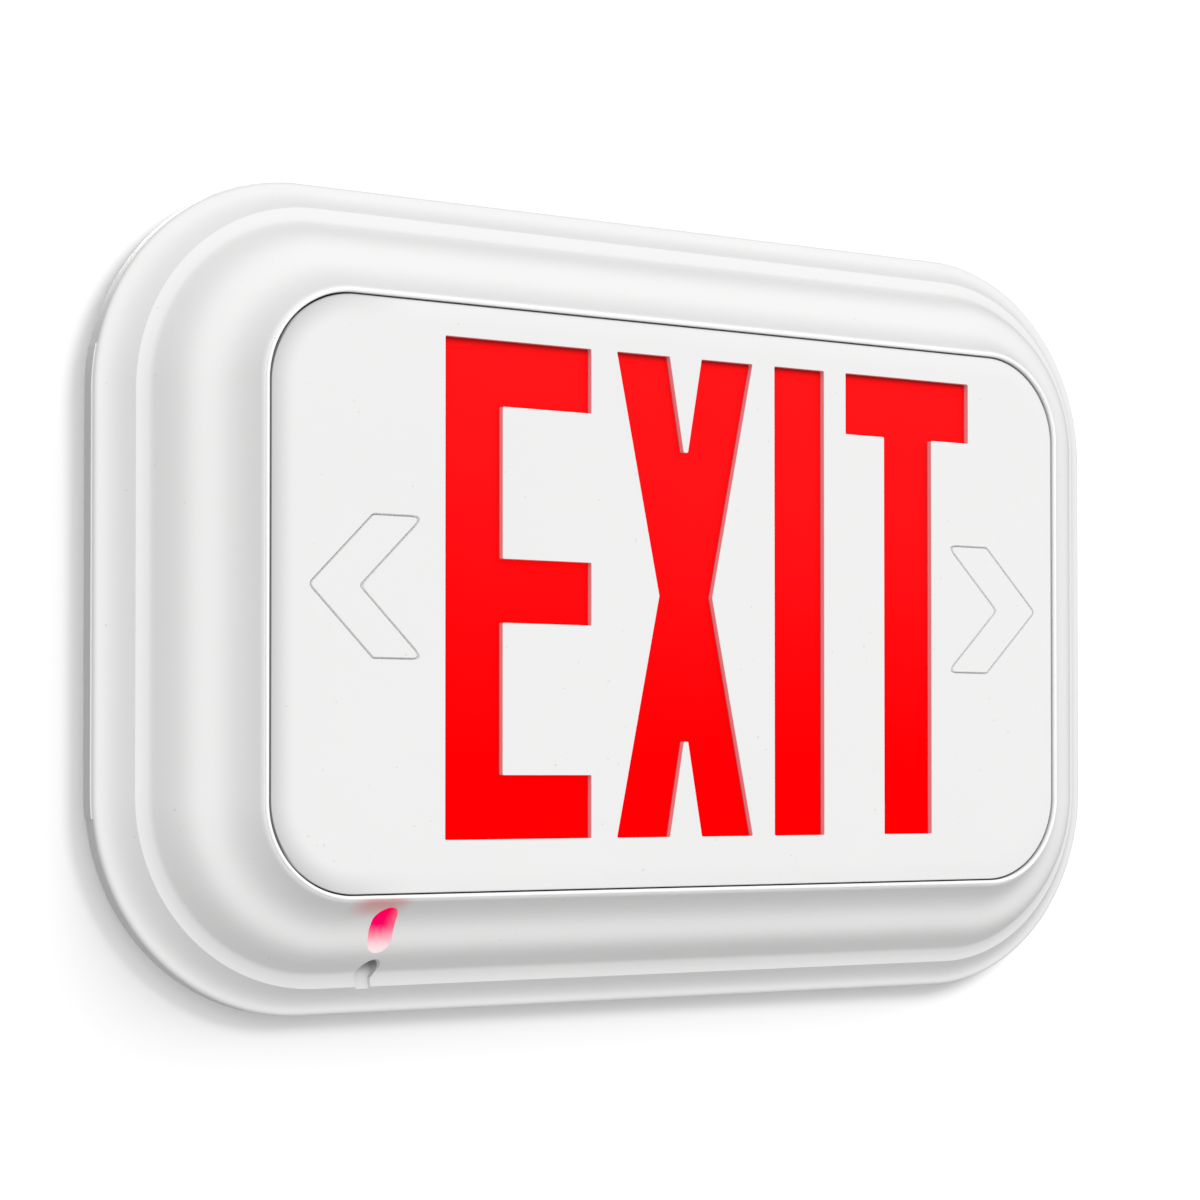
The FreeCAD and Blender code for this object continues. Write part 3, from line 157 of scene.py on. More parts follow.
# %% Finishes
class Finish(Shading):
    """A material with a Principled shader, and the tools to feed its sockets."""

    def __init__(self, name, **numbers):
        self.material = bpy.data.materials.new(name)
        self.material.use_nodes = True
        super().__init__(self.material.node_tree)
        self.shader = self.tree.nodes["Principled BSDF"]
        for socket, number in numbers.items():
            self.set(socket.replace("_", " "), number)
        self.place = self.node("ShaderNodeTexCoord", out="Object")

    def set(self, socket, value):
        self.feed(self.shader.inputs[socket], value)

    def axes(self):
        """The X, Y and Z of the place on the object, in millimetres."""
        split = self.node("ShaderNodeSeparateXYZ", {}, {0: self.place})
        return [Wire(self, output) / MM for output in split.socket.node.outputs]

    def from_rim(self, inset_x, inset_z, radius):
        """Distance in mm out of a rounded rectangle, given by its insets from the outline and its corner radius.

        length(max(|x| - half + radius, 0), max(|z| - half + radius, 0)) - radius, negative inside.
        """
        x, _, z = self.axes()
        across = (x.absolute() - (half_width - inset_x - radius)).at_least(0.0)
        up = (z.absolute() - (half_height - inset_z - radius)).at_least(0.0)
        return (across * across + up * up) ** 0.5 - radius

    def noise(self, scale, detail=2.0):
        """Soft noise from 0 to 1, with its scale in repeats per metre."""
        return self.node("ShaderNodeTexNoise", {}, {"Vector": self.place, "Scale": scale, "Detail": detail})

    def mix(self, factor, first, second):
        """The first colour where the factor is 0, the second where it is 1."""
        return self.node("ShaderNodeMix", {"data_type": "RGBA"}, {0: factor, 6: first, 7: second}, out=2)

    def bump(self, height, strength, distance):
        self.set("Normal", self.node("ShaderNodeBump", {}, {"Height": height, "Strength": strength,
                                                            "Distance": distance}))


def grey(value):
    return (value, value, value)


print("finish tools ready")

# %% [markdown]
# ## White moulded plastic
#
# The housing and the stencil plate are injection moulded in white ABS. Such mouldings are never dead even:
# a spark-eroded tool leaves a fine grain, the colour drifts a little with the flow, and the sheen varies.
# One painted colour would look dead beside them, so noise at four scales does the work.

# %% White moulded plastic
drift_scale, speck_scale, sheen_scale, grain_scale, ripple_scale = 9.0, 760.0, 60.0, 2600.0, 700.0
speck_from, speck_to, speck_share = 0.875, 0.895, 0.25


def white_moulding(name, base, grain=1.0, painted_light=None):
    """Satin white plastic: slow drift in colour and sheen, a fine eroded grain and a few specks of dust.

    painted_light takes the finish and its colour so far, and paints the light and shade that belong to one piece
    alone.
    """
    finish = Finish(name, IOR=1.5, Specular_IOR_Level=0.35)
    drift = finish.noise(drift_scale, 3.0)
    colour = finish.mix(drift.smooth(0.3, 0.7), tuple(0.985 * c for c in base), base)
    specks = finish.noise(speck_scale, 0.0).smooth(speck_from, speck_to)
    colour = finish.mix(specks * speck_share, colour, (0.35, 0.34, 0.33))
    # Painted light and shade of one piece go into its colour here.
    if painted_light:
        colour = painted_light(finish, colour)
    finish.set("Base Color", colour)
    finish.set("Roughness", 0.42 + finish.noise(sheen_scale, 2.0) * 0.10)
    finish.bump(finish.noise(grain_scale, 2.0) + finish.noise(ripple_scale, 1.0) * 0.4, 0.10 * grain, 0.00006)
    return finish.material


back_white = white_moulding("back_white", (0.84, 0.84, 0.83), grain=1.5)
print("plain white made")

# %% [markdown]
# ## Painted light on the bezel
#
# The gap between lip and plate is too narrow for soft light, so the lip's inner side gets painted shade. The lip's
# crest gets a painted highlight. A painted pink glow stands for the lamp behind the button shining through the
# thin wall above it, and painted shade darkens the pry notch inside. Light alone could give these, but only after
# very many samples, so the colour helps.

# %% Bezel painted light
gap_dark, gap_fade, gap_floor = 0.02, 1.2, 36.6
notch_x, notch_z, notch_radius, notch_left, notch_right, notch_floor = -106.75, -113.0, 3.45, -110.15, -104.4, 12.7
glow_x, glow_near, glow_far = -112.6, 3.0, 12.0
glow_top, glow_low, glow_end = 90.0, 92.0, 97.5
crest_width, crest_drop = 0.3, 1.1
notch_front, notch_slope = 16.1, 1.05


def bezel_painted_light(finish, colour):
    """Painted shade on the lip's inner side, a painted highlight on its crest, a painted pink glow and painted shade
    in the notch.

    The notch's shade grows with depth under the slope's front: notch front + notch slope * (z - notch z) - level.
    """
    x, y, z = finish.axes()
    level, down = y * -1.0, z * -1.0
    away = finish.from_rim(*lip_inset, lip_corner)
    # Painted shade: the lip's inner side goes near black towards the gap's floor.
    inner = 1.0 - away.smooth(-lip_thickness - 0.1, -lip_thickness + 0.1)
    inner = inner * (1.0 - level.smooth(gap_floor, gap_floor + gap_fade))
    colour = finish.mix(inner, colour, grey(gap_dark))
    # Painted highlight: the lip's crest is lightened almost to white.
    crest = (1.0 - away.smooth(0.0, crest_width)) * away.smooth(-lip_thickness - 0.2, -lip_thickness)
    crest = crest * level.smooth(lip_level - crest_drop, lip_level - crest_drop + 0.4)
    colour = finish.mix(crest, colour, grey(0.95))
    # Painted light: a pink glow above the button, where the lamp behind it shines through the thin wall.
    across = 1.0 - (x - glow_x).absolute().smooth(glow_near, glow_far)
    below = down.smooth(glow_top, glow_top + 1.0) * (1.0 - down.smooth(glow_low, glow_end))
    colour = finish.mix(across * below * 0.8, colour, (0.78, 0.36, 0.36))
    # Painted shade: the pry notch darkens inside with its depth under the slope.
    shade = ((z - notch_z) * notch_slope + notch_front - level).smooth(0.0, 0.7)
    shade = shade * z.smooth(notch_z - 2.0, notch_z + 3.0)
    shade = shade * (1.0 - (x - notch_x).absolute().smooth(notch_radius + 0.05, notch_radius + 0.25))
    shade = shade * (1.0 - z.smooth(notch_z + notch_radius + 0.15, notch_z + notch_radius + 0.35))
    return finish.mix(shade * 0.85, colour, grey(0.13))


housing_white = white_moulding("housing_white", (0.800, 0.800, 0.797), painted_light=bezel_painted_light)
print("bezel white made")

# %% [markdown]
# ## Painted light on the stencil plate
#
# The plate's edge gets painted shade where it faces the gap, and its left margin gets painted shade for the shadow
# of the deep bezel, with a thin painted dark line along its very edge. The cut walls of the letters get painted red
# light from the lens, paler towards the front. A mask that measures the distance from the plate's own outline places
# them all, so the pattern follows the rounded corners.

# %% Plate painted light
shade_from, shade_to = -142.0, -100.0
line_from, line_to = -148.0, -141.0
letters_inset, arrow_from, arrow_z, arrow_half = 8.0, 98.0, 2.4, 25.0


def plate_painted_light(finish, colour):
    """Painted shade on the edge and the left margin with a thin dark line, and painted red light on the cut walls,
    apart from those of the arrows.
    """
    x, y, z = finish.axes()
    level = y * -1.0
    away = finish.from_rim(*plate_inset, plate_corner)
    deep = plate_edge - gap_fade / 2
    # Painted shade: the plate's edge goes near black where it faces the gap.
    edge = away.smooth(-0.35, -0.05) * (1.0 - level.smooth(deep, deep + gap_fade))
    colour = finish.mix(edge, colour, grey(gap_dark))
    # Painted shade: the left margin darkens towards its edge, standing for the deep bezel's shadow.
    margin = (1.0 - x.smooth(shade_from, shade_to)) * away.smooth(-8.0, 1.0)
    colour = finish.mix(margin * 0.55, colour, grey(0.35))
    # Painted shade: a thin dark line along the plate's left edge.
    line = (1.0 - x.smooth(line_from, line_to)) * away.smooth(-0.65, -0.4)
    colour = finish.mix(line, colour, grey(0.14))
    # Painted light: the letters' cut walls take the lens's red light, deep red low down and pink near the front.
    cut = 1.0 - away.smooth(-letters_inset - 1.0, -letters_inset)
    cut = cut * (1.0 - level.smooth(face_front - 0.35, face_front - 0.1))
    arrows = x.absolute().smooth(arrow_from, arrow_from + 0.5)
    arrows = arrows * (1.0 - (z - arrow_z).absolute().smooth(arrow_half, arrow_half + 0.5))
    depth = level.smooth(face_front - face_thickness, face_front - face_thickness + 0.8)
    wall_red = finish.mix(depth, (0.45, 0.02, 0.03), (0.78, 0.40, 0.43))
    return finish.mix(cut * (1.0 - arrows), colour, wall_red)


face_white = white_moulding("face_white", (0.805, 0.805, 0.802), painted_light=plate_painted_light)
print("plate white made")

# %% [markdown]
# ## Red lens
#
# The lens is a red acrylic sheet, lit edge-on by the strips behind it. It looks almost even, with a painted
# reflection in its base colour that grows a shade paler towards the top. A glowing surface in a render is an emission
# colour on an ordinary shader. Its margin behind the bezel stays unlit, and its base colour there is painted dark as
# shade, so that no red leaks through the gap round the plate.

# %% Red lens
unlit_from, unlit_to = -12.0, -9.0
sheen_foot, sheen_top = -70.0, 85.0


def lit_lens():
    """Red that glows inside the letters' field; its base colour holds a painted reflection that grows paler with
    height.
    """
    finish = Finish("red_lens", Roughness=0.5, IOR=1.49, Specular_IOR_Level=0.0, Emission_Strength=1.0)
    height = finish.axes()[2]
    drift = finish.noise(14.0, 2.0)
    lit = 1.0 - finish.from_rim(*plate_inset, plate_corner).smooth(unlit_from, unlit_to)
    finish.set("Emission Color", finish.mix(lit, grey(0.0), (0.70, 0.0, 0.0)))
    # Painted reflection: the base colour grows paler with height, as more room light falls from above.
    paler = (height + drift * 40.0 - 20.0).smooth(sheen_foot, sheen_top)
    sheen = finish.mix(paler, (0.30, 0.0, 0.001), (0.30, 0.008, 0.010))
    # Painted shade: outside the lit field the base colour is nearly black.
    finish.set("Base Color", finish.mix(lit, (0.02, 0.01, 0.01), sheen))
    finish.bump(drift, 0.05, 0.0001)
    return finish.material


lens_red = lit_lens()
print("lens made")

# %% [markdown]
# ## Lit button
#
# The button is a light pipe of milky pink plastic with a lamp behind its top. The light bleaches it towards the
# foot and along the right side. Two blends over the button's own box, broken up by a little noise, say that.


# %% Lit button
def lit_button(low, high):
    """Pink light pipe: deep at its top, washed out to white at its foot and along its right side."""
    finish = Finish("button_pink", IOR=1.49, Specular_IOR_Level=0.0, Emission_Strength=0.97)
    x, _, z = finish.axes()
    up = (z - low.z / MM) / ((high.z - low.z) / MM)
    right = (x - low.x / MM) / ((high.x - low.x) / MM)
    milky = finish.noise(260.0, 2.0)
    body = finish.mix((up + milky * 0.1).smooth(0.50, 1.02), (1.0, 0.0, 0.15), (1.0, 0.0, 0.09))
    body = finish.mix(right.smooth(0.50, 1.05) * 0.8, body, (1.0, 0.19, 0.29))
    body = finish.mix(1.0 - (up + milky * 0.08).smooth(0.08, 0.70), body, (0.97, 0.80, 0.82))
    finish.set("Emission Color", body)
    finish.set("Base Color", finish.mix(milky, (0.03, 0.0, 0.005), (0.05, 0.0, 0.01)))
    finish.set("Roughness", 0.30 + milky * 0.1)
    return finish.material


button_low, button_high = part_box("test_button")
button_pink = lit_button(button_low, button_high)
print("button finish made")

# %% [markdown]
# ## Finishes of the inside
#
# Nobody sees the boards and the battery until the cover is off, yet each has its own character:
# solder mask shows its copper, sleeves wrinkle, cast cases pit. One function sets the drift and the grain.


# %% Inner finishes
def inner_finish(name, first, second, roughness, scale, metallic=0.0, bump=0.1):
    """Two shades drifting into each other at a scale in repeats per metre, with a matching grain."""
    finish = Finish(name, Metallic=metallic)
    drift = finish.noise(scale, 3.0)
    finish.set("Base Color", finish.mix(drift.smooth(0.35, 0.65), first, second))
    finish.set("Roughness", roughness + drift * 0.15)
    finish.bump(finish.noise(scale * 8, 2.0), bump, 0.0001)
    return finish.material


INNER = {
    "light_box": inner_finish("tray_white", (0.86, 0.86, 0.85), (0.90, 0.90, 0.89), 0.5, 60.0),
    "led_board_top": inner_finish("strip_white", (0.82, 0.82, 0.80), (0.88, 0.88, 0.86), 0.35, 120.0),
    "leds_top": inner_finish("phosphor", (0.90, 0.72, 0.30), (0.95, 0.82, 0.42), 0.3, 400.0),
    "control_board": inner_finish("solder_mask", (0.02, 0.20, 0.08), (0.03, 0.30, 0.12), 0.3, 240.0),
    "transformer": inner_finish("ferrite", (0.05, 0.05, 0.055), (0.09, 0.09, 0.10), 0.6, 500.0),
    "film_capacitor": inner_finish("cast_yellow", (0.70, 0.55, 0.12), (0.78, 0.62, 0.16), 0.35, 180.0),
    "transfer_relay": inner_finish("relay_case", (0.03, 0.04, 0.07), (0.05, 0.06, 0.10), 0.25, 160.0),
    "smoothing_capacitors": inner_finish("can_sleeve", (0.04, 0.05, 0.16), (0.06, 0.08, 0.22), 0.3, 200.0),
    "terminal_block": inner_finish("terminal_green", (0.05, 0.32, 0.12), (0.07, 0.40, 0.16), 0.45, 200.0),
    "lead_plugs": inner_finish("nylon", (0.82, 0.80, 0.72), (0.88, 0.86, 0.78), 0.4, 220.0),
    "battery_pack": inner_finish("sleeve_blue", (0.05, 0.16, 0.36), (0.07, 0.22, 0.46), 0.28, 90.0, bump=0.4),
    "battery_strap": inner_finish("strap_nylon", (0.80, 0.80, 0.78), (0.86, 0.86, 0.84), 0.45, 150.0),
    "test_switch": inner_finish("switch_black", (0.02, 0.02, 0.02), (0.04, 0.04, 0.04), 0.4, 300.0),
    "charge_lamp": inner_finish("lamp_red", (0.60, 0.02, 0.02), (0.75, 0.04, 0.04), 0.15, 300.0),
    "board_screws": inner_finish("zinc", (0.62, 0.63, 0.64), (0.75, 0.76, 0.77), 0.3, 500.0, metallic=1.0),
    "battery_leads": inner_finish("vinyl_red", (0.50, 0.02, 0.02), (0.62, 0.04, 0.04), 0.4, 260.0),
}
SAME_AS = {"led_board_bottom": "led_board_top", "leds_bottom": "leds_top", "switch_board": "control_board",
           "switch_plunger": "test_switch", "light_box_screws": "board_screws", "switch_leads": "battery_leads",
           "top_lamp_leads": "battery_leads", "bottom_lamp_leads": "battery_leads"}
OUTER = {"back_plate": back_white, "front_housing": housing_white, "face_plate": face_white,
         "red_diffuser": lens_red, "test_button": button_pink}


def dress(node, material):
    """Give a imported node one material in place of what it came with."""
    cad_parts[node].data.materials.clear()
    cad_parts[node].data.materials.append(material)


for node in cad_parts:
    dress(node, OUTER.get(node) or INNER[SAME_AS.get(node, node)])
print("dressed", len(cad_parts), "nodes")

# %% [markdown]
# ## Surfaces from rounded outlines
#
# The bezel is one section carried round a rounded rectangle. Lofting it by hand would take a curve per edge.
# A grid does it in one step: each row is a point of the section, with its inset from the outline and its level
# from the wall, and each column is a place on the way round. Row and column together give a point.

# %% Rounded outline
SIDES = np.array([(1, 1), (-1, 1), (-1, -1), (1, -1)])
FOOT = 2
EVEN = np.linspace(0, 1, 10)[1:-1]


def outline_places(arc_steps=40, foot_shares=EVEN):
    """Places round a rounded rectangle: (side x, side z, angle) columns for corners and straight sides.

    A corner holds its side and turns: angle = quarter * pi / 2 + share * pi / 2. A straight side holds the angle
    and blends the sides: side + (next side - side) * share. The foot may take shares of its own.
    """
    quarter = np.linspace(0, math.pi / 2, arc_steps + 1)
    runs = []
    for index, (side, following) in enumerate(zip(SIDES, np.roll(SIDES, -1, 0))):
        angles = quarter + index * math.pi / 2
        shares = foot_shares if index == FOOT else EVEN
        straight = side + (following - side) * shares[:, None]
        runs.append(np.column_stack([np.tile(side, (len(angles), 1)), angles]))
        runs.append(np.column_stack([straight, np.full(len(shares), angles[-1])]))
    return np.vstack(runs)


def ring_grid(section, places):
    """Points of a section carried round: section rows are (inset x, inset z, level, corner radius) in mm.

    x = side x * (half width - inset x - radius) + radius * cos(angle), and z likewise with sin. y = -level.
    """
    inset_x, inset_z, level, radius = (section[:, i][:, None] for i in range(4))
    side_x, side_z, angle = (places[:, i][None, :] for i in range(3))
    x = side_x * (half_width - inset_x - radius) + radius * np.cos(angle)
    z = side_z * (half_height - inset_z - radius) + radius * np.sin(angle)
    return np.stack([x, np.broadcast_to(-level, x.shape), z], -1) * MM


def grid_faces(rows, columns, wrap_rows, wrap_columns):
    """Quads of a grid, as index rows; wrapped where the surface closes on itself."""
    r = np.arange(rows if wrap_rows else rows - 1)
    c = np.arange(columns if wrap_columns else columns - 1)
    r, c = np.meshgrid(r, c, indexing="ij")
    r2, c2 = (r + 1) % rows, (c + 1) % columns
    quads = np.stack([r * columns + c, r * columns + c2, r2 * columns + c2, r2 * columns + c], -1)
    return quads.reshape(-1, 4).tolist()


print("grid tools ready")


# %% Meshes
def make_object(name, points, faces, material=None, smooth=35):
    """A mesh object from points and faces, shaded smooth with edges sharper than an angle kept."""
    mesh = bpy.data.meshes.new(name)
    mesh.from_pydata(points.reshape(-1, 3).tolist(), [], faces)
    mesh.validate()
    mesh.polygons.foreach_set("use_smooth", [True] * len(mesh.polygons))
    mesh.set_sharp_from_angle(angle=math.radians(smooth))
    item = bpy.data.objects.new(name, mesh)
    bpy.context.scene.collection.objects.link(item)
    if material:
        mesh.materials.append(material)
    return item


def refresh(item, material, smooth=35):
    """After cutting: one material, and sharp edges marked again."""
    item.data.materials.clear()
    item.data.materials.append(material)
    item.data.set_sharp_from_angle(angle=math.radians(smooth))


print("mesh tools ready")

# %% [markdown]
# ## The bezel's section
#
# From the wall outwards: an upright rim with a small round, a cove that starts flat and ends steep, a narrow
# rolled bead, then the ogee. Its level is a straight rise plus a sine, which makes it steep at both ends and
# easy in the middle. A thin lip finishes it, and the way back inside closes the moulding.

# %% Section
round_steps, cove_steps, bead_steps, ogee_steps, lip_steps = 7, 15, 7, 46, 9
inner_reach = 0.92


def ogee_level(t):
    """Level at share t of the ogee: valley + rise * (t + bow * sin(2 pi t) / 2 pi)."""
    return valley_level + (lip_level - valley_level) * (t + ogee_bow * np.sin(2 * np.pi * t) / (2 * np.pi))


def between(first, second, share):
    """Rows first * (1 - share) + second * share."""
    return np.outer(1 - share, first) + np.outer(share, second)


def outer_section(skin=0.0, ogee_end=1.0):
    """Rows (inset x, inset z, level, radius) from the rim's foot to the lip's outer edge, a skin further in.

    Rim: a quarter circle. Cove: level = rim + rise * (1 - cos(share * pi / 2)). Bead: a straight rise less a sine.
    Ogee: ogee_level. The radius shrinks evenly with the inset, from the outline's to the lip's.
    """
    turn = np.linspace(0, np.pi / 2, round_steps)
    rim = np.stack([edge_round * (1 - np.cos(turn))] * 2 + [rim_edge - edge_round * (1 - np.sin(turn))], -1)
    share = np.linspace(0, 1, cove_steps)
    cove = between((edge_round, edge_round), bead_inset, share)
    cove = np.column_stack([cove, rim_edge + (bead_level - rim_edge) * (1 - np.cos(share * np.pi / 2))])
    share = np.linspace(0, 1, bead_steps)
    bead = between(bead_inset, valley_inset, share)
    rise = (valley_level - bead_level) * share
    bead = np.column_stack([bead, bead_level + rise - bead_sag * np.sin(np.pi * share)])
    share = np.linspace(0, ogee_end, ogee_steps)
    ogee = between(valley_inset, lip_inset, share)
    ogee = np.column_stack([ogee, ogee_level(share)])
    rows = np.vstack([[0, 0, rear_lift], rim, cove[1:], bead[1:], ogee[1:]])
    reach = (rows[:, 1] - valley_inset[1]) / (lip_inset[1] - valley_inset[1])
    radius = np.where(reach < 0, corner - rows[:, 1],
                      corner - valley_inset[1] + (lip_corner - corner + valley_inset[1]) * reach)
    rows = np.column_stack([rows, radius])
    rows[:, :2] += skin
    rows[1:, 2] -= skin
    rows[:, 3] -= skin
    return rows


def whole_section():
    """The closed section: outside, lip, well, ledge, skirt, and back along the inside to the rim's foot.

    The lip's top is a half circle. What follows steps inwards with inset + step and radius - step.
    """
    outside = outer_section()[:-1]
    turn = np.linspace(0, np.pi, lip_steps)
    half = lip_thickness / 2
    lip = np.stack([lip_inset[0] + half * (1 - np.cos(turn)), lip_inset[1] + half * (1 - np.cos(turn)),
                    lip_level - half + half * np.sin(turn), lip_corner - half * (1 - np.cos(turn))], -1)
    inwards = np.array([1, 1, 0, -1])
    outer = np.array([lip_inset[0], lip_inset[1], 0, lip_corner])
    well = outer + lip_thickness * inwards
    ledge = well + ledge_width * inwards
    upright = np.array([0, 0, 1, 0])
    steps = [well + ledge_front * upright, ledge + ledge_front * upright, ledge + ledge_rear * upright,
             well + ledge_rear * upright, well + skirt_end * upright, outer + skirt_end * upright]
    inside = outer_section(skin=wall, ogee_end=inner_reach)[::-1]
    return np.vstack([outside, lip, steps, inside])


def slope_level(z):
    """Level of the bezel's front below the middle, at a height z in mm, where the outline is straight."""
    rows = outer_section()
    return np.interp(half_height - np.abs(z), rows[:, 1], rows[:, 2])


section = whole_section()
print("section rows:", len(section))

# %% Bezel
button_x, button_z, button_width, button_length, button_gap = -107.95, -100.43, 8.15, 14.05, 0.08
close_low, close_high, close_columns = -128.0, -90.0, 48
foot_length = 2 * (half_width - corner)
close_shares = (np.linspace(close_low, close_high, close_columns) + foot_length / 2) / foot_length
foot_shares = np.unique(np.concatenate([EVEN, close_shares]))
foot_shares = foot_shares[(foot_shares > 0.01) & (foot_shares < 0.99)]
places = outline_places(foot_shares=foot_shares)
bezel = make_object("bezel", ring_grid(section, places), grid_faces(len(section), len(places), True, True),
                    housing_white)
print("bezel quads:", len(bezel.data.polygons))

# %% [markdown]
# ## Holes in the bezel
#
# The button's hole and the pry notch are straight pulls through a sloping wall, so their outlines look like
# teardrops although they are drawn as simple slots. Cutting with a straight prism gives that shape for free.
# Behind each hole stands a wall, so the prisms' backing is joined on first and the holes are cut last.
# The grid has closer columns there, which keeps the long quads from bending round the cuts.


# %% Prisms
def slot_outline(x, z, width, length, arc=24):
    """An upright slot with round ends: two half circles, centre + radius * (cos, sin), joined by straight sides."""
    reach, radius = (length - width) / 2, width / 2
    turn = np.linspace(0, np.pi, arc + 1)
    top = np.stack([x + radius * np.cos(turn), z + reach + radius * np.sin(turn)], -1)
    foot = np.stack([x - radius * np.cos(turn), z - reach - radius * np.sin(turn)], -1)
    return np.vstack([top, foot])


def prism(name, plan, low, high):
    """A closed prism over a plan of (x, z) points in mm, between two levels; high may vary along the plan."""
    count = len(plan)
    high = np.broadcast_to(high, (count,))
    foot = np.stack([plan[:, 0], np.full(count, -low), plan[:, 1]], -1) * MM
    head = np.stack([plan[:, 0], -high, plan[:, 1]], -1) * MM
    caps = [list(range(count))[::-1], list(range(count, 2 * count))]
    return make_object(name, np.vstack([foot, head]), grid_faces(2, count, False, True) + caps)


def combine(target, tool, operation):
    """Join or cut a mesh with another and keep only the result."""
    modifier = target.modifiers.new(tool.name, "BOOLEAN")
    modifier.operation, modifier.object, modifier.solver = operation, tool, "EXACT"
    graph = bpy.context.evaluated_depsgraph_get()
    result = bpy.data.meshes.new_from_object(target.evaluated_get(graph))
    target.modifiers.clear()
    target.data = result
    bpy.data.objects.remove(tool)


print("prism tools ready")

# %% [markdown]
# ## Side pads
#
# The rim carries a thin raised pad along each upright side, where a screwdriver may rest. The pad stops sharply
# at both ends. It is a strip that follows the outline's curve, joined on as a prism.

# %% Side pads
pad_low, pad_high, pad_front, pad_depth = -66.6, 73.0, rim_edge - edge_round, 1.0


def pad_plan(side):
    """A strip along the rim's side: x = half width - corner + sqrt(corner^2 - max(|z| - straight, 0)^2)."""
    z = np.linspace(pad_low, pad_high, 40)
    rim = half_width - corner + np.sqrt(corner ** 2 - np.maximum(np.abs(z) - half_height + corner, 0) ** 2)
    plan = np.vstack([np.stack([rim + side_pad, z], -1), np.stack([rim - pad_depth, z], -1)[::-1]])
    return plan if side > 0 else plan[::-1] * [-1, 1]


for side in (-1, 1):
    combine(bezel, prism("pad", pad_plan(side), rear_lift, pad_front), "UNION")
print("bezel faces with pads:", len(bezel.data.polygons))

# %% Holes
sleeve_wall, sleeve_end, pocket_wall, front_cover = 1.3, 18.2, 1.5, 1.3
cut_end, bore_start = 45.0, 5.0
low_edge = -(half_height - bead_inset[1])
turn = np.linspace(-math.acos((notch_right - notch_x) / notch_radius), np.pi, 31)
round_end = np.stack([np.cos(turn), np.sin(turn)], -1)


def button_outline(grow):
    """The button's slot, grown all round."""
    return slot_outline(button_x, button_z, button_width + 2 * grow, button_length + 2 * grow)


def notch_plan(grow, foot):
    """A round top, centre + radius * (cos, sin), with a channel from it down to a foot, grown all round."""
    arch = np.array([notch_x, notch_z]) + (notch_radius + grow) * round_end
    foot_right, waist, foot_left = notch_right + 0.6 + grow, notch_left - grow, notch_left + 1.8 - grow
    return np.vstack([[foot_right, foot], arch, [waist, notch_z - 1.2], [foot_left, foot]])


sleeve = button_outline(button_gap + sleeve_wall)
combine(bezel, prism("sleeve", sleeve, sleeve_end, slope_level(sleeve[:, 1]) - front_cover), "UNION")
pocket = notch_plan(pocket_wall, low_edge + 0.4)
pocket_front = slope_level(pocket[:, 1]) - front_cover
combine(bezel, prism("pocket", pocket, notch_floor - pocket_wall, pocket_front), "UNION")
combine(bezel, prism("notch", notch_plan(0.0, low_edge - 2.0), notch_floor, cut_end), "DIFFERENCE")
combine(bezel, prism("bore", button_outline(button_gap), bore_start, cut_end), "DIFFERENCE")
refresh(bezel, housing_white)
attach(bezel, "sign")
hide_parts("front_housing")
print("bezel faces after cutting:", len(bezel.data.polygons))

# %% [markdown]
# ## The test button
#
# The button is a slot-shaped plunger whose face follows the bezel's slope. Its face is a polar grid: rings
# shrink from the rim to the middle, and each point takes its level from the slope, dropping at the very rim.

# %% Button
ring_count, ring_crowding, button_proud, button_edge, button_rear = 14, 1.6, 0.05, 0.35, 16.7


def button_face():
    """Points centre + share * (rim - centre), at the slope's level plus a little, rounded down at the rim."""
    rim = button_outline(0.0)
    shares = 1 - np.linspace(0, 1, ring_count) ** ring_crowding
    middle = np.array([button_x, button_z])
    plan = middle + shares[:, None, None] * (rim - middle)
    border = button_edge * 2 / button_width
    near = np.clip((shares - (1 - border)) / border, 0, 1)
    drop = button_edge * (1 - np.sqrt(1 - near ** 2))
    level = slope_level(plan[..., 1]) + button_proud - drop[:, None]
    head = np.stack([plan[..., 0], -level, plan[..., 1]], -1)
    foot = head[:1].copy()
    foot[..., 1] = -button_rear
    return np.concatenate([foot, head]) * MM


points = button_face()
rows, columns = points.shape[:2]
faces = grid_faces(rows, columns, False, True) + [list(range(columns))]
button = make_object("button", points, faces, button_pink, smooth=50)
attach(button, "button")
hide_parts("test_button")
print("button points:", rows * columns)

# %% [markdown]
# ## The stencil plate
#
# The plate is a shallow lid: a flat front that rolls off softly near its edge. The lettering is moulded through
# it and the arrows are scored for knocking out. Its outline is the same rounded grid with other insets.
# A last narrow flat row keeps the shading of the front even, because the roll's normals end there.

# %% Plate
roll_steps, flat_row = 24, 0.5


def plate_section():
    """Rows from the plate's back edge up its side and over the soft roll: level falls as a quarter ellipse."""
    share = np.linspace(0, np.pi / 2, roll_steps)
    inner = np.concatenate([[0.0], plate_roll * (1 - np.cos(share)), [plate_roll + flat_row]])
    level = np.concatenate([[face_front - face_thickness], plate_edge + plate_drop * np.sin(share), [face_front]])
    return np.column_stack([plate_inset[0] + inner, plate_inset[1] + inner, level, plate_corner - inner * 0.6])


plate_points = ring_grid(plate_section(), outline_places(arc_steps=36))
rows, columns = plate_points.shape[:2]
quads = grid_faces(rows, columns, False, True)
caps = [list(range(columns))[::-1], list(range((rows - 1) * columns, rows * columns))]
plate = make_object("stencil_plate", plate_points, quads + caps, face_white)
print("plate quads:", len(quads))

# %% [markdown]
# ## Lettering and arrows
#
# The word is cut right through, as a stencil, with strokes of one width as the rules for such signs ask.
# Each letter is a plan of a few corners, rounded by the cutter's small radius, and a prism cuts it out.
# An arrow is only scored: a V-shaped groove runs round it, so that it breaks out cleanly when it is needed.

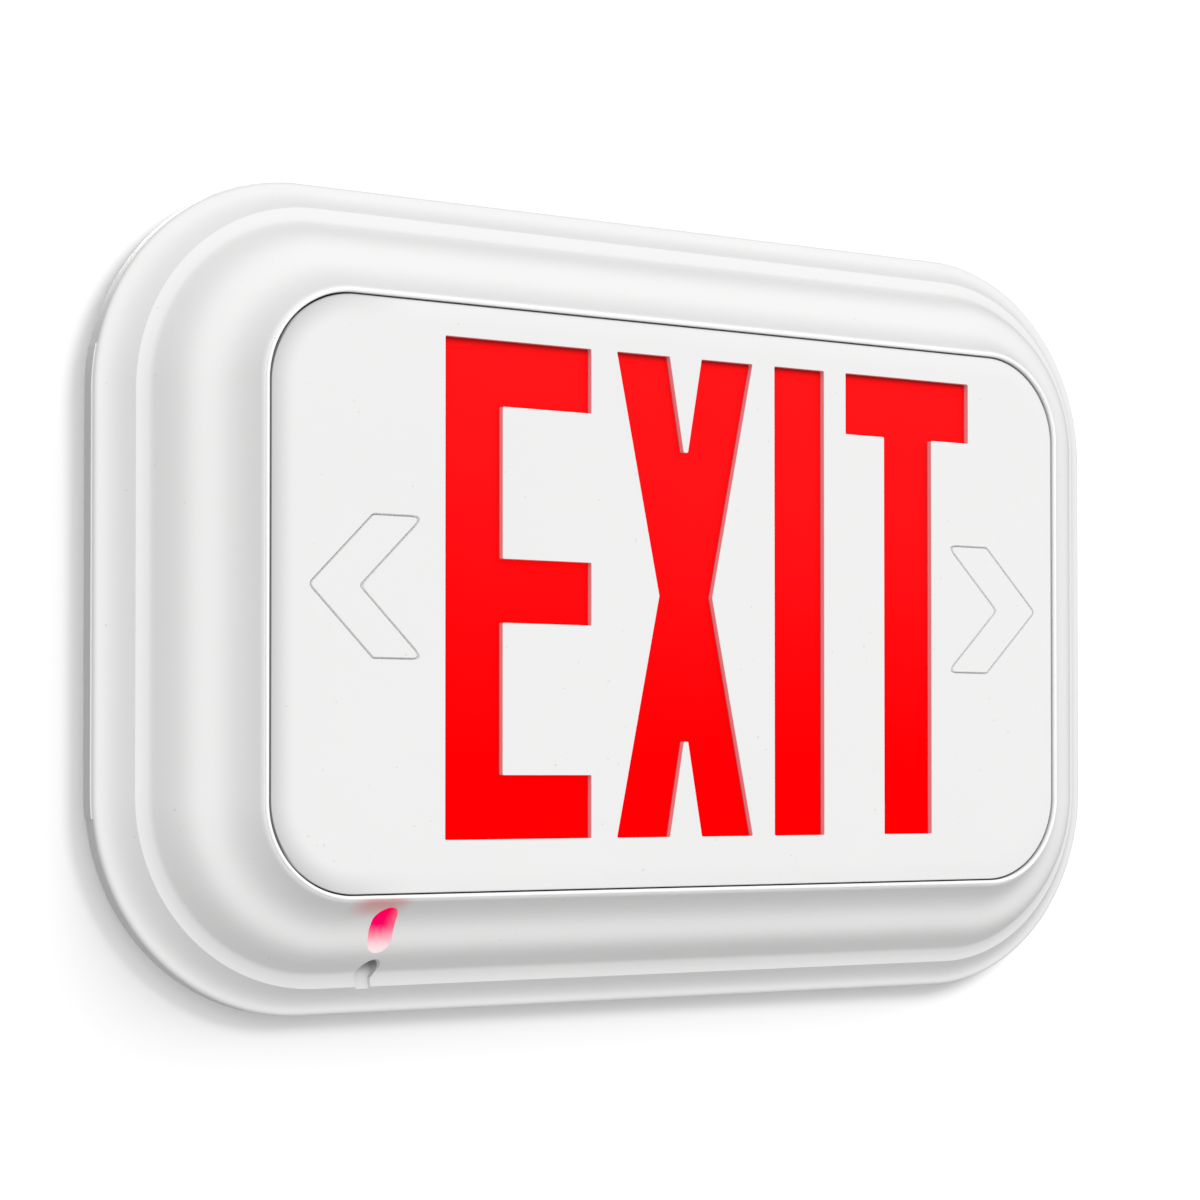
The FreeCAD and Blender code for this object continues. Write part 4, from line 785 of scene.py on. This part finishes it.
# %% Letters
legend_x, legend_z, letter_height, stroke, letter_round = 2.0, 2.9, 152.4, 20.2, 0.5
arm_gap, arm_ease, e_left, e_width, i_left, t_left, t_width = 46.5, 0.6, -94.0, 52.4, 29.0, 58.1, 52.4
x_middle, x_width, x_mouth, x_floor, x_depth, x_waist = -5.9, 52.4, 12.3, 1.6, 30.2, 20.4


def letter_plans():
    """Corner points of the four cut-outs, from the stroke, the height and each letter's left edge."""
    top, foot, bar = letter_height / 2, -letter_height / 2, stroke
    left, stem, right = e_left, e_left + stroke, e_left + e_width
    upper, lower, low_arm = top - bar - arm_gap, foot + bar + arm_gap - arm_ease, foot + bar - arm_ease
    letter_e = [(left, top), (right, top), (right, top - bar), (stem, top - bar), (stem, upper), (right, upper),
                (right, lower), (stem, lower), (stem, low_arm), (right, low_arm), (right, foot), (left, foot)]
    edge, mouth, floor, waist = x_width / 2, x_mouth / 2, x_floor / 2, x_waist / 2
    half = [(-edge, top), (-mouth, top), (-floor, top - x_depth), (floor, top - x_depth), (mouth, top), (edge, top),
            (waist, 0)]
    letter_x = [(x_middle + x, z) for x, z in half] + [(x_middle - x, -z) for x, z in half]
    letter_i = [(i_left, top), (i_left + stroke, top), (i_left + stroke, foot), (i_left, foot)]
    left, right = t_left, t_left + t_width
    stem_left, stem_right = t_left + (t_width - stroke) / 2, t_left + (t_width + stroke) / 2
    letter_t = [(left, top), (right, top), (right, top - bar), (stem_right, top - bar), (stem_right, foot),
                (stem_left, foot), (stem_left, top - bar), (left, top - bar)]
    return {"e": letter_e, "x": letter_x, "i": letter_i, "t": letter_t}


def rounded_plan(corners, radius, steps=5):
    """Replaces each corner of a plan with a small arc, worked out from the two edges that meet there.

    The arc starts and ends radius / tan(half the corner's angle) from the corner, and is a quadratic curve.
    """
    corners = np.array(corners, float)
    before, after = np.roll(corners, 1, 0), np.roll(corners, -1, 0)
    first = (before - corners) / np.linalg.norm(before - corners, axis=1)[:, None]
    second = (after - corners) / np.linalg.norm(after - corners, axis=1)[:, None]
    half = np.arccos(np.clip((first * second).sum(1), -1, 1)) / 2
    reach = radius / np.tan(half)
    share = np.linspace(0, 1, steps)[None, :, None]
    start, end = corners + first * reach[:, None], corners + second * reach[:, None]
    curve = (1 - share) ** 2 * start[:, None] + 2 * share * (1 - share) * corners[:, None] + share ** 2 * end[:, None]
    return curve.reshape(-1, 2)


def facing(plan):
    """The plan turned so that its prism's faces point outwards: its area, sum of x * next z - next x * z, above 0."""
    x, z = plan[:, 0], plan[:, 1]
    area = (x * np.roll(z, -1) - np.roll(x, -1) * z).sum()
    return plan if area > 0 else plan[::-1]


middle_of_legend = np.array([legend_x, legend_z])
for name, corners in letter_plans().items():
    plan = facing(rounded_plan(corners, letter_round) + middle_of_legend)
    combine(plate, prism("letter_" + name, plan, face_front - face_thickness - 1, face_front + 1), "DIFFERENCE")
print("plate faces with letters:", len(plate.data.polygons))

# %% Arrows
chevron_tip, chevron_reach, chevron_width, chevron_round, chevron_lift = 140.0, 21.4, 17.0, 1.6, -0.45
groove, groove_depth, groove_flare, groove_over = 0.36, 1.3, 1.2, 0.2


def arrow_plan(side, grow):
    """A chevron at 45 degrees, grown all round by a length."""
    slant = grow * math.sqrt(2)
    tip, inner, reach = chevron_tip + slant, chevron_tip - chevron_width - slant, chevron_reach + grow
    points = [(tip, 0), (tip - reach, reach), (inner - reach, reach), (inner, 0), (inner - reach, -reach),
              (tip - reach, -reach)]
    return [(side * x, z) for x, z in points]


def groove_row(side, grow, rise):
    """One row of the groove's three-sided section: the arrow's rounded plan, grown, at a level."""
    plan = facing(rounded_plan(arrow_plan(side, grow), chevron_round + grow)) + middle_of_legend + [0, chevron_lift]
    return np.stack([plan[:, 0], np.full(len(plan), -face_front - rise), plan[:, 1]], -1) * MM


flare, over = groove_flare * groove, groove_over * groove_depth
for side in (-1, 1):
    ring = np.array([groove_row(side, grow, rise) for grow, rise in ((0.0, -groove_depth), (flare, over),
                                                                     (-flare, over))])
    combine(plate, make_object("arrow", ring, grid_faces(*ring.shape[:2], True, True)), "DIFFERENCE")
refresh(plate, face_white)
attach(plate, "sign")
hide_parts("face_plate")
print("plate faces after cutting:", len(plate.data.polygons))

# %% [markdown]
# ## Stage
#
# The sign hangs on a white wall. The wall only shows from the front, so that the back can be looked at too,
# and a pale floor lies well below. Neither throws light back, because the soft room light already fills in.

# %% Stage
wall_gap, stage_half, floor_z, wall_top = 0.0006, 4, -1.2, 3


def stage_finish(name, colour, one_sided):
    """Dull paint with a slow drift; one-sided paint is clear where its sheet is seen from behind."""
    finish = Finish(name, Roughness=0.9, Specular_IOR_Level=0.0)
    drift = finish.noise(3.0, 2.0)
    finish.set("Base Color", finish.mix(drift, tuple(0.995 * c for c in colour), colour))
    if one_sided:
        behind = finish.node("ShaderNodeNewGeometry", out="Backfacing")
        clear = finish.node("ShaderNodeBsdfTransparent")
        paint = Wire(finish, finish.shader.outputs[0])
        blend = finish.node("ShaderNodeMixShader", {}, {0: behind, 1: paint, 2: clear})
        finish.feed(finish.tree.nodes["Material Output"].inputs["Surface"], blend)
    return finish.material


def sheet_of(name, corners, material):
    """A flat four-cornered piece of the stage."""
    item = make_object(name, np.array(corners, float), [[0, 1, 2, 3]], material)
    return item


wall_sheet = sheet_of("wall", [(-stage_half, wall_gap, floor_z), (stage_half, wall_gap, floor_z),
                               (stage_half, wall_gap, wall_top), (-stage_half, wall_gap, wall_top)],
                      stage_finish("wall_paint", grey(0.72), True))
for part in ("diffuse", "glossy", "transmission", "shadow", "volume_scatter"):
    setattr(wall_sheet, "visible_" + part, False)
floor_sheet = sheet_of("floor", [(-stage_half, -stage_half, floor_z), (stage_half, -stage_half, floor_z),
                                 (stage_half, stage_half, floor_z), (-stage_half, stage_half, floor_z)],
                       stage_finish("floor_paint", (0.85, 0.85, 0.84), False))
floor_sheet.visible_diffuse = False
print("stage set")

# %% [markdown]
# ## Light
#
# Most of the light comes from the room all round. It is brightest in front and above, and falls off towards the
# floor and the wall: strength = room level + room slope . direction, and never below nothing. A faint key lamp
# adds a direction, a wash lights the wall alone behind the sign, and one lamp serves the view from behind.


# %% Light
def soft_lamp(name, place, size, power, only=None):
    """A round area lamp that looks at the sign; with only, it lights that one object."""
    data = bpy.data.lights.new(name, "AREA")
    data.shape, data.size, data.energy = "DISK", size, power
    lamp = bpy.data.objects.new(name, data)
    lamp.location = place
    lamp.rotation_euler = (-Vector(place)).to_track_quat("-Z", "Y").to_euler()
    bpy.context.scene.collection.objects.link(lamp)
    if only:
        lamp.light_linking.receiver_collection = bpy.data.collections.new(name)
        lamp.light_linking.receiver_collection.objects.link(only)


soft_lamp("key", (1.3, -2.2, 2.0), 1.6, 9)
soft_lamp("wall_wash", (1.75, -1.85, 1.7), 1.7, 80, wall_sheet)
soft_lamp("back", (0.3, 2.4, 1.0), 1.6, 45)

room_slope, room_level = (-0.08, -0.94, 0.33), 0.42
world = bpy.data.worlds.new("room")
world.use_nodes = True
room = Shading(world.node_tree)
direction = room.node("ShaderNodeTexCoord", out="Generated")
falloff = room.node("ShaderNodeVectorMath", {"operation": "DOT_PRODUCT"}, {0: direction, 1: room_slope}, out="Value")
background = world.node_tree.nodes["Background"]
room.feed(background.inputs["Strength"], (falloff + room_level).at_least(0.0))
room.feed(background.inputs["Color"], grey(1.0))
bpy.context.scene.world = world
bpy.context.scene.view_settings.view_transform = "Standard"
print("lamps lit")

# %% [markdown]
# ## Camera
#
# The camera stands low on the left and looks up a little and to the right. It is aimed by a yaw and a pitch, and a
# small shift lifts the frame, as a view camera's rising front does, so that upright edges stay upright.

# %% Camera
eye = Vector((-530.0, -763.2 - face_front, -54.1)) * MM
yaw, pitch = math.radians(32.89), math.radians(0.97)
ahead = Vector((math.sin(yaw) * math.cos(pitch), math.cos(yaw) * math.cos(pitch), math.sin(pitch)))
camera_data = bpy.data.cameras.new("camera")
camera_data.sensor_width, camera_data.lens, camera_data.shift_y = 36.0, 87.5, 0.1058
camera = bpy.data.objects.new("camera", camera_data)
camera.location = eye
camera.rotation_euler = ahead.to_track_quat("-Z", "Y").to_euler()
bpy.context.scene.collection.objects.link(camera)
bpy.context.scene.camera = camera
print("camera at", tuple(round(v, 3) for v in eye))
